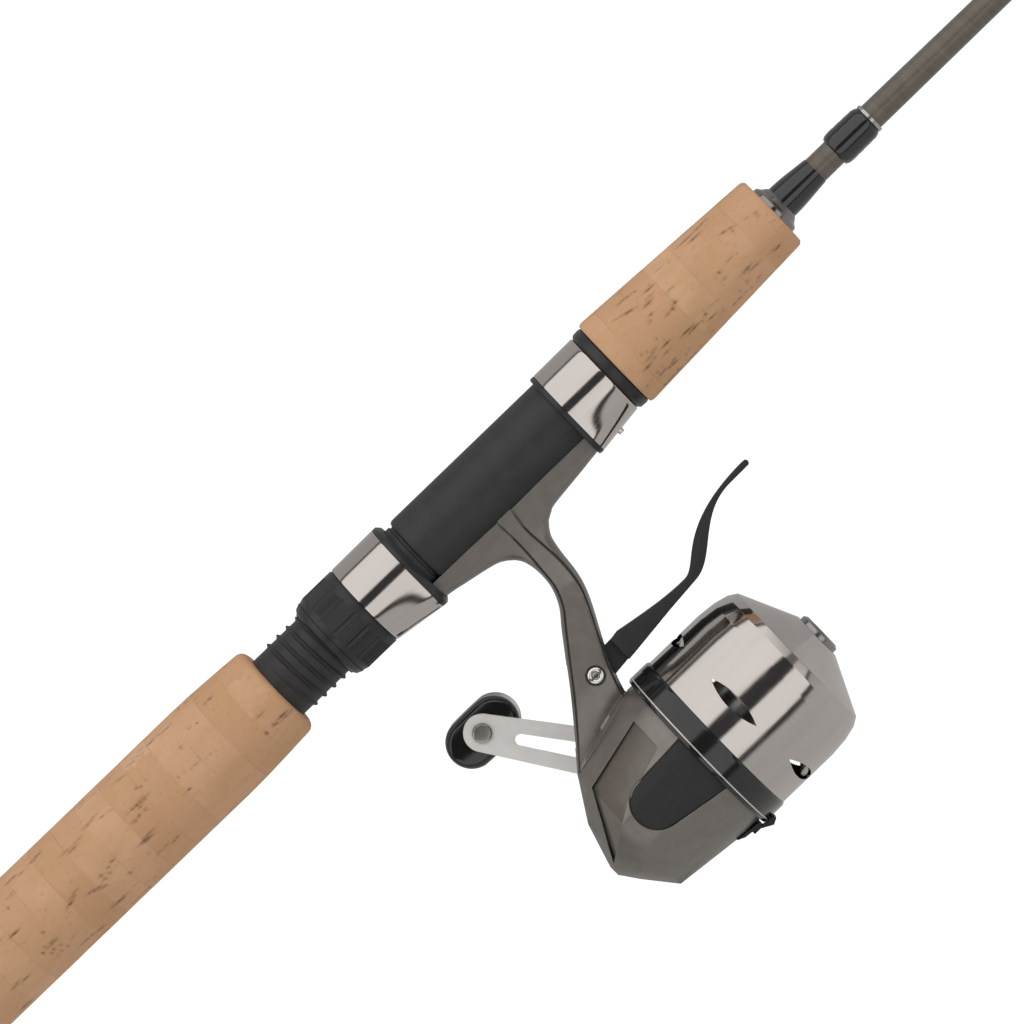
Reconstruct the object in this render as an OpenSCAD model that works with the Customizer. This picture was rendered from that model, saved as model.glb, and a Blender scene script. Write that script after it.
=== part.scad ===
// Light fishing rod with a cork handle, a sliding-hood reel seat and an
// under-hung, trigger-operated closed-face reel.
// +X runs from the butt to the tip on the rod's axis, +Z is up and the reel hangs towards -Z.
// The origin is the centre of the butt cap's end face. The crank is on the +Y side.

/* [Rod] */
// Whole length, from the butt cap to the tip ring
rod_len = 762; // [640:1:920]
// Length of the rear grip with its butt cap
rear_grip_len = 115; // [90:1:160]
// Radius of the rear grip
rear_grip_r = 11.4; // [10.6:0.1:13.8]
// Length of the front grip
fore_grip_len = 43.8; // [30:0.1:70]
// Radius of the front grip at the reel seat
fore_grip_r = 10.6; // [9.8:0.1:13]
// Radius of the front grip at its front end
fore_grip_tip_r = 8.6; // [6.5:0.1:9.6]
// Radius of the blank at the butt end
blank_butt_r = 4.0; // [3.4:0.1:4.6]
// Radius of the blank where it leaves the handle
blank_r = 2.9; // [2.7:0.05:3.3]
// Radius of the blank at the tip
blank_tip_r = 0.9; // [0.7:0.05:1.2]
// Radius of the spigot that joins the two sections
spigot_r = 2.0; // [1.6:0.05:2.2]
// Depth of the spigot in each section
spigot_depth = 24; // [16:1:34]

/* [Reel seat] */
// Radius of the smooth barrel that the reel foot lies on
seat_r = 8.4; // [7.0:0.1:10.1]
// Length of the smooth barrel between the hoods
barrel_len = 41; // [36:0.5:50]
// Pitch of the seat's thread
thread_pitch = 2.6; // [2:0.1:3.2]
// Depth of the seat's thread
thread_depth = 0.6; // [0.4:0.05:0.8]
// Bare thread that shows behind the lock nut, which is the nut's travel
nut_travel = 12.6; // [8:0.1:20]
// Length of the lock nut
nut_len = 11.4; // [9:0.1:16]
// Length of the sliding hood's metal shell
hood_len = 11.4; // [9:0.1:15]
// Length of the fixed hood's metal shell
fixed_hood_len = 10.6; // [9:0.1:15]

/* [Reel foot and stem] */
// Half width of the reel foot
foot_half_w = 5.6; // [4.6:0.1:6.4]
// Thickness of the foot's two ends
foot_end_t = 0.9; // [0.7:0.05:1.1]
// Distance from the rod's axis to the top of the reel's body
stem_len = 47.8; // [44:0.1:58]
// Half thickness of the stem
stem_half_t = 4.2; // [3.6:0.1:5.5]

/* [Reel body] */
// Radius of the body at its black band
body_r = 19.4; // [16.1:0.1:23.4]
// Length of the body shell behind the band
body_back = 28.4; // [26:0.1:34]
// Width of the black band
band_w = 5.6; // [4:0.1:8]
// Wall of the body shell
shell_wall = 1.2; // [0.8:0.1:1.6]
// Length of the front cover from the band to the nose
cover_len = 27.8; // [26:0.1:34]
// Wall of the front cover
cover_wall = 0.9; // [0.6:0.1:1.2]
// Number of lens-shaped slots round the cover
slot_count = 5; // [3:1:6]

/* [Reel mechanism] */
// Tooth size of the gear pair: pitch diameter over teeth
gear_module = 0.6; // [0.55:0.01:0.62]
// Teeth on the pinion
pinion_teeth = 8; // [8:1:9]
// Teeth on the crank's face gear
main_teeth = 28; // [24:1:28]
// Radius of the centre shaft
shaft_r = 1.0; // [0.8:0.05:1.1]
// Radius of the crank shaft
crank_shaft_r = 2.4; // [2:0.1:2.8]
// Running clearance on the radius of each bearing
run_gap = 0.06; // [0.03:0.01:0.09]

/* [Crank and trigger] */
// Distance from the crank's axis to the knob's axis
crank_len = 39.5; // [33:0.5:48]
// Angle of the crank arm above the forward direction
crank_angle = 126; // [0:1:359]
// Length of the knob along its spindle
knob_len = 16; // [12:0.5:22]
// Width of the knob across its long side
knob_w = 17; // [14:0.5:22]
// Thickness of the knob
knob_t = 10.8; // [9:0.1:13]
// Half width of the trigger's finger blade
trigger_half_w = 3.4; // [2.4:0.1:5]
// Radius of the pin that the trigger turns on
trigger_pin_r = 1.2; // [1:0.05:1.5]

/* [Guides] */
// Places of the guide rings, as shares of the bare blank from the handle to the tip
guide_places = [0.3, 0.53, 0.72, 0.87];
// Inside radii of the guide rings
guide_radii = [5.5, 4.0, 3.2, 2.6];
// Inside radius of the tip ring
tip_ring_r = 1.6; // [1.2:0.1:2.2]

/* [Hidden] */
$fn = 96;
glue = 0.03;      // gap left for glue between fixed round pieces

// Rod stations along X, each from the one before it
cap_len = 8;
rear_grip_end = rear_grip_len;
nut_x = rear_grip_end + nut_travel;
hood_x = nut_x + nut_len + 0.1;
liner_lip = 1.6;
hood_end = hood_x + hood_len;
barrel_x = hood_end + liner_lip + 2;
fixed_hood_x = barrel_x + barrel_len;
hood_ring_x = fixed_hood_x + fixed_hood_len;
hood_ring_len = 2.8;
fore_grip_x = hood_ring_x + hood_ring_len;
check_x = fore_grip_x + fore_grip_len;
check_len = 2.6;
wrap_x = check_x + check_len;
wrap_len = 9.2;
ferrule_x = wrap_x + wrap_len + 5.2;
ferrule_wrap_len = 9.4;
trim_len = 0.8;
tip_x = rod_len - 0.8;
blank_x = 3;

// Reel seat radii
thread_r = seat_r - 0.45;
seat_bore_r = blank_butt_r + 0.9;
nut_r = seat_r + 1.2;
hood_r = seat_r + 1.3;
shell_t = 0.7;
foot_r = seat_r + 0.05;         // inner radius of the reel foot
foot_out_r = foot_r + foot_end_t + 0.8;
foot_bury = 8;                  // length of each foot end inside its hood
foot_gap = 0.25;

// Reel stations: x from reel_x, heights from the reel's axis or from the body's top
reel_x = barrel_x + 26;
reel_drop = stem_len + body_r;
band_x = -8 - band_w;
body_end = band_x - body_back;
cover_x = -8;
cover_end = cover_x + cover_len;
cover_r = body_r - 0.1;
deck_x = cover_x - 2.2;
deck_t = 1.6;
crank_x = -20;                  // crank axis from reel_x
pivot_x = -17.4;                // trigger pivot from reel_x
pivot_up = 5.6;                 // trigger pivot above the body's top

// Gear pair
pinion_pitch_r = gear_module * pinion_teeth / 2;
main_pitch_r = gear_module * main_teeth / 2;
tooth_add = 0.66 * gear_module;
tooth_ded = 1.15 * gear_module;
face_half = 0.9;                // half width of the face gear's tooth ring
tooth_w = 0.55 * gear_module * PI / 1.8;

// Reel inner stations
sleeve_r = shaft_r + 1.2;
hub_r = sleeve_r + 1.4;
hub_end = 3.0;
spool_r = body_r - 5.2;
spinner_r = body_r - 3.8;
cap_x = -34.6;
cap_r = shaft_r + 0.75;
arm_y = body_r + 2.2;           // inner face of the crank arm
arm_t = 1.6;

// ---------- helpers ----------
// Turned piece on the rod's axis from [x, r] pairs
module turned(points) {
    rotate([0, 90, 0]) rotate_extrude() polygon([for (p = points) [p[1], p[0]]]);
}
// Tube along X
module tube_x(x, len, ro, ri) {
    turned([[x, ri], [x + len, ri], [x + len, ro], [x, ro]]);
}
// Solid round bar along X
module bar_x(x, len, r) {
    translate([x, 0, 0]) rotate([0, 90, 0]) cylinder(h = len, r = r);
}
// Solid round bar along Y, from y
module bar_y(y, len, r) {
    translate([0, y, 0]) rotate([-90, 0, 0]) cylinder(h = len, r = r);
}
// Flat outline in X and Z, given a width in Y about the middle plane
module slab_y(w) {
    rotate([90, 0, 0]) linear_extrude(w, center = true) children();
}
// Thin flat outline in Y and Z at x, used as a section of a hull
module section_x(x, points, t = 0.1) {
    translate([x, 0, 0]) rotate([90, 0, 90]) linear_extrude(t) polygon(points);
}
module rod_between(a, b, r) {
    d = b - a;
    len = norm(d);
    translate(a) rotate([0, acos(d[2] / len), atan2(d[1], d[0])]) cylinder(h = len, r = r, $fn = 24);
}
module at_reel() translate([reel_x, 0, -reel_drop]) children();
module at_crank() at_reel() translate([crank_x, 0, 0]) children();
module at_pivot() at_reel() translate([pivot_x, 0, body_r + pivot_up]) children();
function bezier(p, n = 8) = [for (i = [0:n]) let (u = i / n, v = 1 - u)
    v * v * v * p[0] + 3 * v * v * u * p[1] + 3 * v * u * u * p[2] + u * u * u * p[3]];
function tip_blank_r(x) = blank_r + 0.05 + (blank_tip_r - blank_r) * (x - ferrule_x) / (tip_x - ferrule_x);
function mirror_y(points) = concat(points, [for (i = [len(points) - 1:-1:0]) [-points[i][0], points[i][1]]]);

// ---------- rod ----------
module butt_cap() color([0.09, 0.09, 0.09]) difference() {
    turned([[0, 0], [0, rear_grip_r - 1.6], [0.5, rear_grip_r - 0.5], [1.6, rear_grip_r],
        [cap_len, rear_grip_r], [cap_len, 0]]);
    bar_x(blank_x, cap_len, blank_butt_r + glue);
}
module rear_grip() color([0.80, 0.64, 0.48]) difference() {
    round_r = 1.8;
    front_r = rear_grip_r - 0.8;
    turned(concat([[cap_len, 0], [cap_len, rear_grip_r], [rear_grip_end - 17, rear_grip_r]],
        [for (a = [90:-18:0]) [rear_grip_end - round_r + round_r * cos(a), front_r - round_r + round_r * sin(a)]],
        [[rear_grip_end, 0]]));
    bar_x(0, rear_grip_len + 1, seat_bore_r);
}
module blank_butt() color([0.45, 0.41, 0.36]) difference() {
    turned([[blank_x, 0], [blank_x, blank_butt_r], [ferrule_x, blank_r], [ferrule_x, 0]]);
    bar_x(blank_x - 1, ferrule_x, spigot_r + glue);
}
module ferrule_spigot() color([0.2, 0.2, 0.2])
    turned([[ferrule_x - spigot_depth, 0], [ferrule_x - spigot_depth, spigot_r],
        [ferrule_x + spigot_depth - 0.6, spigot_r], [ferrule_x + spigot_depth, spigot_r - 0.5],
        [ferrule_x + spigot_depth, 0]]);
// Foot pocket under a hood: a ring sector between the seat and the hood, wide at the mouth
module foot_end(x0, r0, x1, r1, inner, half_w) {
    intersection() {
        turned([[x0, inner], [x1, inner], [x1, r1], [x0, r0]]);
        translate([x0 - 1, -half_w, -2 * r1]) cube([x1 - x0 + 2, 2 * half_w, 2 * r1]);
    }
}
module rear_pocket() {
    foot_end(barrel_x - liner_lip - 2 - foot_bury - foot_gap, foot_r + foot_end_t + foot_gap,
        barrel_x + 1, foot_out_r + foot_gap + 0.1, thread_r - 0.5, foot_half_w + foot_gap);
}
module front_pocket() {
    foot_end(fixed_hood_x - 3, foot_out_r + foot_gap + 0.2,
        fixed_hood_x + foot_bury + foot_gap, foot_r + foot_end_t + foot_gap, seat_r, foot_half_w + foot_gap);
}
module seat_body() color([0.13, 0.13, 0.13]) difference() {
    first = rear_grip_end + thread_pitch;
    turns = floor((hood_end - first) / thread_pitch);
    root = thread_r - thread_depth;
    turned(concat([[rear_grip_end, seat_bore_r], [rear_grip_end, root]],
        [for (i = [0:turns - 1], q = [[0, 0], [0.3, 1], [0.7, 1], [1.0, 0]])
            [first + (i + 0.45 * q[0]) * thread_pitch, root + q[1] * thread_depth]],
        [[barrel_x, root], [barrel_x, seat_r - 0.3], [barrel_x + 0.6, seat_r], [fixed_hood_x - 1, seat_r],
            [fixed_hood_x - 0.1, hood_r - 0.1], [fixed_hood_x - 0.02, hood_r - 0.1], [fixed_hood_x - 0.02, seat_r],
            [fore_grip_x, seat_r], [fore_grip_x, seat_bore_r]]));
    front_pocket();
}
module seat_arbors() color([0.55, 0.45, 0.3]) {
    span = fore_grip_x - rear_grip_end;
    for (i = [0:2]) difference() {
        tube_x(rear_grip_end + span * (0.1 + 0.34 * i), 10, seat_bore_r - glue, 1);
        blank_cut();
    }
}
module blank_cut() {
    turned([[blank_x, 0], [blank_x, blank_butt_r + glue], [ferrule_x, blank_r + glue], [ferrule_x, 0]]);
}
// Section of a hood's mouth: the seat's circle drawn down over the foot
module mouth_section(x, grow, t) {
    drop = foot_out_r + 1.0 + grow;
    for (side = [-1, 1]) translate([x, side * 3.5, -(drop - 4.5)]) rotate([0, 90, 0])
        cylinder(h = t, r = 4.5, $fn = 48);
    translate([x, 0, 0]) rotate([0, 90, 0]) cylinder(h = t, r = hood_r + grow, $fn = 96);
}
module fixed_hood() color([0.75, 0.72, 0.70]) {
    difference() {
        hull() {
            mouth_section(fixed_hood_x, -0.2, 0.2);
            bar_x(hood_ring_x - 0.2, 0.2, hood_r - 0.1);
        }
        bar_x(fixed_hood_x - 1, fixed_hood_len + 2, seat_r + glue);
        front_pocket();
    }
    translate([fixed_hood_x + 5, 0, -foot_out_r - 0.35]) cylinder(h = 0.5, r = 0.7, $fn = 24, center = true);
}
module hood_ring() color([0.12, 0.12, 0.12]) difference() {
    turned([[hood_ring_x, 0], [hood_ring_x, hood_r - 0.5], [hood_ring_x + 0.8, hood_r + 0.2],
        [fore_grip_x, hood_r + 0.3], [fore_grip_x, 0]]);
    bar_x(hood_ring_x - 1, 6, seat_r + glue);
}
module fore_grip() color([0.80, 0.63, 0.46]) difference() {
    turned([[fore_grip_x, 0], [fore_grip_x, fore_grip_r - 0.5], [fore_grip_x + 1, fore_grip_r],
        [check_x - 0.8, fore_grip_tip_r], [check_x, fore_grip_tip_r - 0.6], [check_x, 0]]);
    blank_cut();
}
module winding_check() color([0.25, 0.24, 0.23]) difference() {
    turned([[check_x, 0], [check_x, blank_r + 2.8], [check_x + 1.0, blank_r + 2.6],
        [wrap_x, blank_r + 0.95], [wrap_x, 0]]);
    blank_cut();
}
module grip_wrap() color([0.1, 0.1, 0.11]) difference() {
    turned([[wrap_x, 0], [wrap_x, blank_r + 0.85], [wrap_x + 7.4, blank_r + 0.35],
        [wrap_x + wrap_len, blank_r + 0.12], [wrap_x + wrap_len, 0]]);
    blank_cut();
}
module lock_nut() color([0.1, 0.1, 0.1]) difference() {
    groove_x = nut_x + 3.6;
    groove_len = nut_len - 5.4;
    union() {
        turned([[nut_x, 0], [nut_x, nut_r - 1.7], [nut_x + 1.2, nut_r - 0.7], [nut_x + 3.2, nut_r],
            [groove_x, nut_r], [groove_x, 0]]);
        translate([groove_x, 0, 0]) rotate([90, 0, 90]) linear_extrude(groove_len) difference() {
            circle(r = nut_r);
            for (a = [11.25:22.5:349]) rotate(a) translate([nut_r - 0.35, -0.55]) square([1, 1.1]);
        }
        bar_x(groove_x + groove_len, nut_x + nut_len - groove_x - groove_len, nut_r);
    }
    bar_x(nut_x - 1, nut_len + 2, thread_r + 0.1);
}
module sliding_hood() color([0.75, 0.72, 0.70]) difference() {
    hull() {
        bar_x(hood_x, 0.2, hood_r - 0.1);
        mouth_section(hood_end - 0.2, 0, 0.2);
    }
    bar_x(hood_x - 1, hood_len + 2, hood_r - shell_t);
    rear_pocket();
}
module hood_liner() color([0.12, 0.12, 0.12]) difference() {
    union() {
        bar_x(hood_x + 0.05, hood_len, hood_r - shell_t - glue);
        hull() {
            mouth_section(hood_end + 0.02, 0, 0.8);
            mouth_section(hood_end + 0.8, -0.8, liner_lip - 0.8);
        }
    }
    bar_x(hood_x - 1, hood_len + 6, thread_r + 0.1);
    rear_pocket();
}

// ---------- tip section ----------
module blank_tip() color([0.45, 0.41, 0.36]) difference() {
    turned([[ferrule_x + 0.05, 0], [ferrule_x + 0.05, tip_blank_r(ferrule_x)],
        [tip_x - 2, tip_blank_r(tip_x - 2)], [tip_x - 2, 0]]);
    bar_x(ferrule_x - 1, spigot_depth + 2, spigot_r + 0.04);
}
module tip_cut() {
    turned([[ferrule_x - 1, 0], [ferrule_x - 1, tip_blank_r(ferrule_x - 1) + glue],
        [tip_x, tip_blank_r(tip_x) + glue], [tip_x, 0]]);
}
module ferrule_wrap() color([0.1, 0.1, 0.11]) difference() {
    r = tip_blank_r(ferrule_x);
    turned([[ferrule_x + 0.05, 0], [ferrule_x + 0.05, r + 0.25], [ferrule_x + 1.2, r + 0.7],
        [ferrule_x + 2.6, r + 0.9], [ferrule_x + ferrule_wrap_len - 1.4, r + 0.85],
        [ferrule_x + ferrule_wrap_len, r + 0.55], [ferrule_x + ferrule_wrap_len, 0]]);
    tip_cut();
}
module trim_ring() color([0.72, 0.72, 0.7]) difference() {
    x = ferrule_x + ferrule_wrap_len;
    turned([[x, 0], [x, tip_blank_r(x) + 0.5], [x + trim_len, tip_blank_r(x) + 0.3], [x + trim_len, 0]]);
    tip_cut();
}
// Guides: ring centre below the blank, one leg in front, two behind, feet bound to the blank
function guide_x(i) = wrap_x + guide_places[i] * (tip_x - wrap_x);
function ring_drop(i) = guide_radii[i] + 1.6 + tip_blank_r(guide_x(i)) + 2.2;
foot_wire = 0.4;
function leg_reach(i) = ring_drop(i) * 0.75;
guide_foot_len = 8;
module guide_foot(i, front) {
    x0 = guide_x(i) + front * leg_reach(i);
    bar_start = front > 0 ? x0 : x0 - guide_foot_len;
    big_r = tip_blank_r(bar_start);
    translate([0, 0, -(big_r + foot_wire + 0.02)]) bar_x(bar_start, guide_foot_len, foot_wire);
}
module guide_frame(i) color([0.2, 0.2, 0.2]) difference() {
    x = guide_x(i);
    ring_r = guide_radii[i] + 0.9;
    union() {
        for (front = [-1, 1]) {
            guide_foot(i, front);
            x0 = x + front * leg_reach(i);
            foot = [x0, 0, -(tip_blank_r(min(x0, x0 + front * guide_foot_len)) + foot_wire + 0.02)];
            translate(foot) sphere(r = foot_wire, $fn = 24);
            for (s = front > 0 ? [0] : [-1, 1]) {
                top = [x + 0.3 * front, s * (ring_r + 0.2), -ring_drop(i) + (s == 0 ? ring_r + 0.25 : 0)];
                rod_between(foot, top, foot_wire);
            }
        }
        translate([0, 0, -ring_drop(i)]) tube_x(x - 0.7, 1.4, ring_r + 0.45, ring_r - 0.2);
    }
    translate([0, 0, -ring_drop(i)]) bar_x(x - 3, 6, ring_r + 0.01);
    tip_cut();
}
module guide_ring(i) color([0.12, 0.13, 0.15]) translate([guide_x(i), 0, -ring_drop(i)]) {
    ri = guide_radii[i];
    turned([[-0.5, ri], [0.5, ri], [0.9, ri + 0.35], [0.9, ri + 0.9], [-0.9, ri + 0.9], [-0.9, ri + 0.35]]);
}
module guide_wraps() color([0.1, 0.1, 0.11]) for (i = [0:3], front = [-1, 1]) {
    x0 = guide_x(i) + front * leg_reach(i);
    start = front > 0 ? x0 + 1.4 : x0 - guide_foot_len - 2;
    len = guide_foot_len + 0.6;
    r = tip_blank_r(start);
    difference() {
        union() {
            bar_x(start, len, r + 0.3);
            translate([0, 0, -(r + 0.3)]) bar_x(start, len, foot_wire + 0.3);
        }
        tip_cut();
        translate([0, 0, -(tip_blank_r(front > 0 ? x0 : x0 - guide_foot_len) + foot_wire + 0.02)])
            bar_x(front > 0 ? x0 - 1 : x0 - guide_foot_len - 0.02, guide_foot_len + 1.04, foot_wire + 0.02);
    }
}
tip_ring_x = tip_x - 0.1;
tip_ring_drop = tip_ring_r + 0.8 + blank_tip_r + 1.3;
module tip_top() color([0.2, 0.2, 0.2]) difference() {
    tube_r = blank_tip_r + 0.45;
    union() {
        turned([[tip_x - 14, 0], [tip_x - 14, tube_r], [tip_x - 2.5, tube_r], [tip_x - 1.6, tube_r - 0.5],
            [tip_x - 1.6, 0]]);
        translate([0, 0, -tip_ring_drop]) tube_x(tip_ring_x - 0.7, 1.4, tip_ring_r + 1.25, tip_ring_r);
        for (s = [-1, 1]) rod_between([tip_x - 9, s * 0.9, -tube_r + 0.3],
            [tip_ring_x - 0.3, s * (tip_ring_r + 1.0), -tip_ring_drop], 0.35);
        rod_between([tip_x - 2.4, 0, -tube_r + 0.4],
            [tip_ring_x - 0.3, 0, -tip_ring_drop + tip_ring_r + 1.05], 0.35);
    }
    tip_cut();
    translate([0, 0, -tip_ring_drop]) bar_x(tip_ring_x - 2, 4, tip_ring_r + 0.81);
}
module tip_ring() color([0.12, 0.13, 0.15]) translate([tip_ring_x, 0, -tip_ring_drop])
    turned([[-0.8, tip_ring_r], [0.8, tip_ring_r], [0.8, tip_ring_r + 0.8], [-0.8, tip_ring_r + 0.8]]);

// ---------- reel frame ----------
// Edges of the foot and stem in X from reel_x and absolute Z, down to where the body widens
rear_edge = concat([[-26 - 2, -foot_out_r]],
    bezier([[-18.5, -seat_r - 3.5], [-13.5, -seat_r - 4.5], [-11.4, -seat_r - 7.1], [-11.4, -20]]),
    bezier([[-11.4, -20], [-11.4, -25], [-13, -27.3], [-16, -30.8]]));
front_edge = concat([[15, -foot_out_r]],
    bezier([[0.5, -seat_r - 3.5], [-3, -seat_r - 4.2], [-5.2, -seat_r - 7.1], [-5.3, -20]]),
    bezier([[-5.3, -20], [-5.6, -26], [-6.8, -29.2], [-9.4, -33.8]]));
seam_back = [-32.8, -4.6];      // seam between frame and shell, from the body's top
seam_front = [band_x, -1.3];
stem_front_x = -15.2;           // where the stem's front edge meets the body
module stem_outline() {
    polygon(concat([[-28, -seat_r + 2]], rear_edge,
        [[-28.2, 0.4 - stem_len], [stem_front_x, 0.4 - stem_len], [-12.2, 8.2 - stem_len]],
        [for (i = [len(front_edge) - 1:-1:0]) front_edge[i]], [[15, -seat_r + 2]]));
}
module above_seam(gap = 0) {
    slope = atan2(seam_front[1] - seam_back[1], seam_front[0] - seam_back[0]);
    intersection() {
        translate([seam_back[0], 0, body_r + seam_back[1] + gap]) rotate([0, -slope, 0])
            translate([-30, -40, 0]) cube([90, 80, 60]);
        translate([-70, -40, -40]) cube([70 + stem_front_x - gap, 80, 120]);
    }
}
module reel_frame() color([0.50, 0.47, 0.44]) difference() {
    union() {
        translate([reel_x, 0, 0]) slab_y(2 * stem_half_t) stem_outline();
        intersection() {
            translate([reel_x, 0, 0]) slab_y(2 * foot_half_w) stem_outline();
            translate([barrel_x - 4, -20, -seat_r - 4.2]) cube([barrel_len + 8, 40, 20]);
        }
        foot_end(barrel_x - liner_lip - 2 - foot_bury, foot_r + foot_end_t, barrel_x, foot_out_r, foot_r, foot_half_w);
        foot_end(fixed_hood_x - 2, foot_out_r, fixed_hood_x + foot_bury, foot_r + foot_end_t, foot_r, foot_half_w);
        at_reel() hull() {
            intersection() {
                housing_shape(0);
                difference() {
                    above_seam(0.03);
                    above_seam(0.4);
                }
            }
            translate([-26, -stem_half_t, body_r + 4.2]) cube([11.6, 2 * stem_half_t, 0.2]);
        }
    }
    bar_x(barrel_x - 30, barrel_len + 60, foot_r);
    at_reel() translate([-33, -1.8, body_r - 12]) cube([25, 3.6, 23]);
    at_pivot() {
        bar_y(-20, 40, trigger_pin_r + 0.01);
        bar_y(-stem_half_t - 10, 11, 2.1);
    }
}
// Body shell: a round front that closes to a blunt, faceted keel at the back
module housing_shape(inset) {
    function shrink(points) = [for (p = points) p * (1 - inset / max(norm(p), 3))];
    k = body_r / 19.4;
    s1 = band_x - body_back * 0.72;
    s2 = band_x - body_back * 0.9;
    hull() {
        bar_x(band_x - 1, 1 + (inset > 0 ? 1 : 0), body_r - 0.9 - inset);
        section_x(s1, shrink(mirror_y(k * [[4.5, 13.2], [11.5, 5], [13, -4], [9.5, -12.6], [5, -16.6]])));
        section_x(s2 + inset * 0.4, shrink(mirror_y(k * [[3.2, 5.4], [7.2, -1.5], [7.6, -6], [3, -10.4]])));
        section_x(body_end + inset, shrink(mirror_y(k * [[2, -4.6], [2, -6.9]])));
    }
}
// Outline of the side panels: square at the band and round at the back
module panel_outline(grow) {
    slab_y(60) {
        translate([-25.6, -1.3]) circle(r = 5.6 + grow);
        polygon([[-25.6, 4.3 + grow], [band_x + 1, 5.2 + grow], [band_x + 1, -8.8 - grow], [-25.6, -6.9 - grow]]);
    }
}
module rear_housing() color([0.50, 0.47, 0.44]) at_reel() difference() {
    union() {
        difference() {
            union() {
                housing_shape(0);
                translate([crank_x, 0, 0]) bar_y(10, body_r - 9.5, 6);
            }
            difference() {
                housing_shape(shell_wall);
                // boss that carries the crank bushing
                translate([crank_x, 0, 0]) bar_y(6.6, body_r, 5.6);
                // posts for the deck screws
                for (a = [30, 150, 270]) rotate([a - 90, 0, 0]) translate([0, 0, body_r - 3.6])
                    bar_x(band_x - 12, 12, 1.9);
                // cradle under the thrust cap
                translate([cap_x + 3, -3.2, -14]) cube([1.8, 6.4, 14]);
            }
        }
    }
    above_seam();
    translate([crank_x, 0, 0]) bar_y(0, 60, 4.02);
    for (a = [30, 150, 270]) rotate([a - 90, 0, 0]) translate([0, 0, body_r - 3.6])
        bar_x(band_x - 8, 12, 0.8);
    translate([cap_x + 2, 0, 0]) bar_x(0, 5, cap_r + 0.1);
    translate([cap_x + 2, -1.4, -3]) cube([3, 2.8, 5]);
    translate([-33, -1.8, 8]) cube([20, 3.6, 22]);
    // slot for the switch's tongue
    translate([-20.6, -1.1, -body_r - 3]) cube([7, 2.2, 8]);
    difference() {
        intersection() {
            panel_outline(0);
            difference() {
                housing_shape(-0.5);
                housing_shape(0.6);
            }
        }
        translate([crank_x, 0, 0]) bar_y(1, 60, 6);
        translate([-60, -4, -40]) cube([60, 8, 80]);
    }
    translate([band_x, -40, -40]) cube([80, 80, 80]);
}
module side_insets() color([0.11, 0.11, 0.11]) at_reel() difference() {
    intersection() {
        panel_outline(-0.12);
        difference() {
            housing_shape(0.02);
            housing_shape(0.57);
        }
    }
    translate([crank_x, 0, 0]) bar_y(1, 60, 6.12);
    translate([-60, -4, -40]) cube([60, 8, 80]);
    translate([band_x - 0.02, -40, -40]) cube([80, 80, 80]);
}
module band_ring() color([0.1, 0.1, 0.1]) at_reel() turned([
    [band_x + 0.02, body_r - 1.1], [band_x + 0.02, body_r + 0.1], [band_x + 0.5, body_r + 0.3],
    [cover_x - 0.5, body_r + 0.3], [cover_x - 0.02, body_r + 0.1], [cover_x - 0.02, body_r - 1.1]]);
module deck_plate() color([0.18, 0.18, 0.18]) at_reel() difference() {
    turned([[deck_x, sleeve_r + run_gap], [deck_x, body_r - 1.12], [cover_x + 1.4, body_r - 1.3],
        [cover_x + 1.4, body_r - 2.1], [deck_x + deck_t, body_r - 2.1], [deck_x + deck_t, hub_r + 3],
        [deck_x + deck_t + 0.1, hub_r + 3], [deck_x + deck_t + 0.1, hub_r], [hub_end, hub_r],
        [hub_end, sleeve_r + run_gap]]);
    for (a = [30, 150, 270]) rotate([a - 90, 0, 0]) translate([0, 0, body_r - 3.6])
        bar_x(deck_x - 5, 10, 1.0);
}
module deck_screws() color([0.7, 0.7, 0.68]) at_reel()
    for (a = [30, 150, 270]) rotate([a - 90, 0, 0]) translate([0, 0, body_r - 3.6]) difference() {
        union() {
            bar_x(band_x - 7, deck_x + deck_t - band_x + 7, 0.75);
            bar_x(deck_x + deck_t, 1.1, 1.4);
        }
        translate([deck_x + deck_t + 0.6, -0.25, -2]) cube([2, 0.5, 4]);
    }
module front_cover() color([0.72, 0.70, 0.67]) at_reel() difference() {
    r = cover_r;
    w = cover_wall;
    nose_r = 5.3;
    turned([[cover_x, r], [cover_x + 13.6, r], [cover_x + 17.4, r - 0.35], [cover_x + 20.4, r - 1.1],
        [cover_x + 22.3, r - 2.2], [cover_end, nose_r], [cover_end, 3.02], [cover_end - 1.2, 3.02],
        [cover_end - 1.4, nose_r - 0.6], [cover_x + 21.6, r - 2.2 - w], [cover_x + 17.2, r - w - 0.4],
        [cover_x + 13.6, r - w], [cover_x, r - w]]);
    for (i = [0:slot_count - 1]) rotate([360 * i / slot_count - 8.5, 0, 0])
        translate([cover_x + 7.2, 0, 0]) rotate([90, 0, 0]) linear_extrude(body_r + 5) lens(6.6, 1.4);
}
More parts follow.
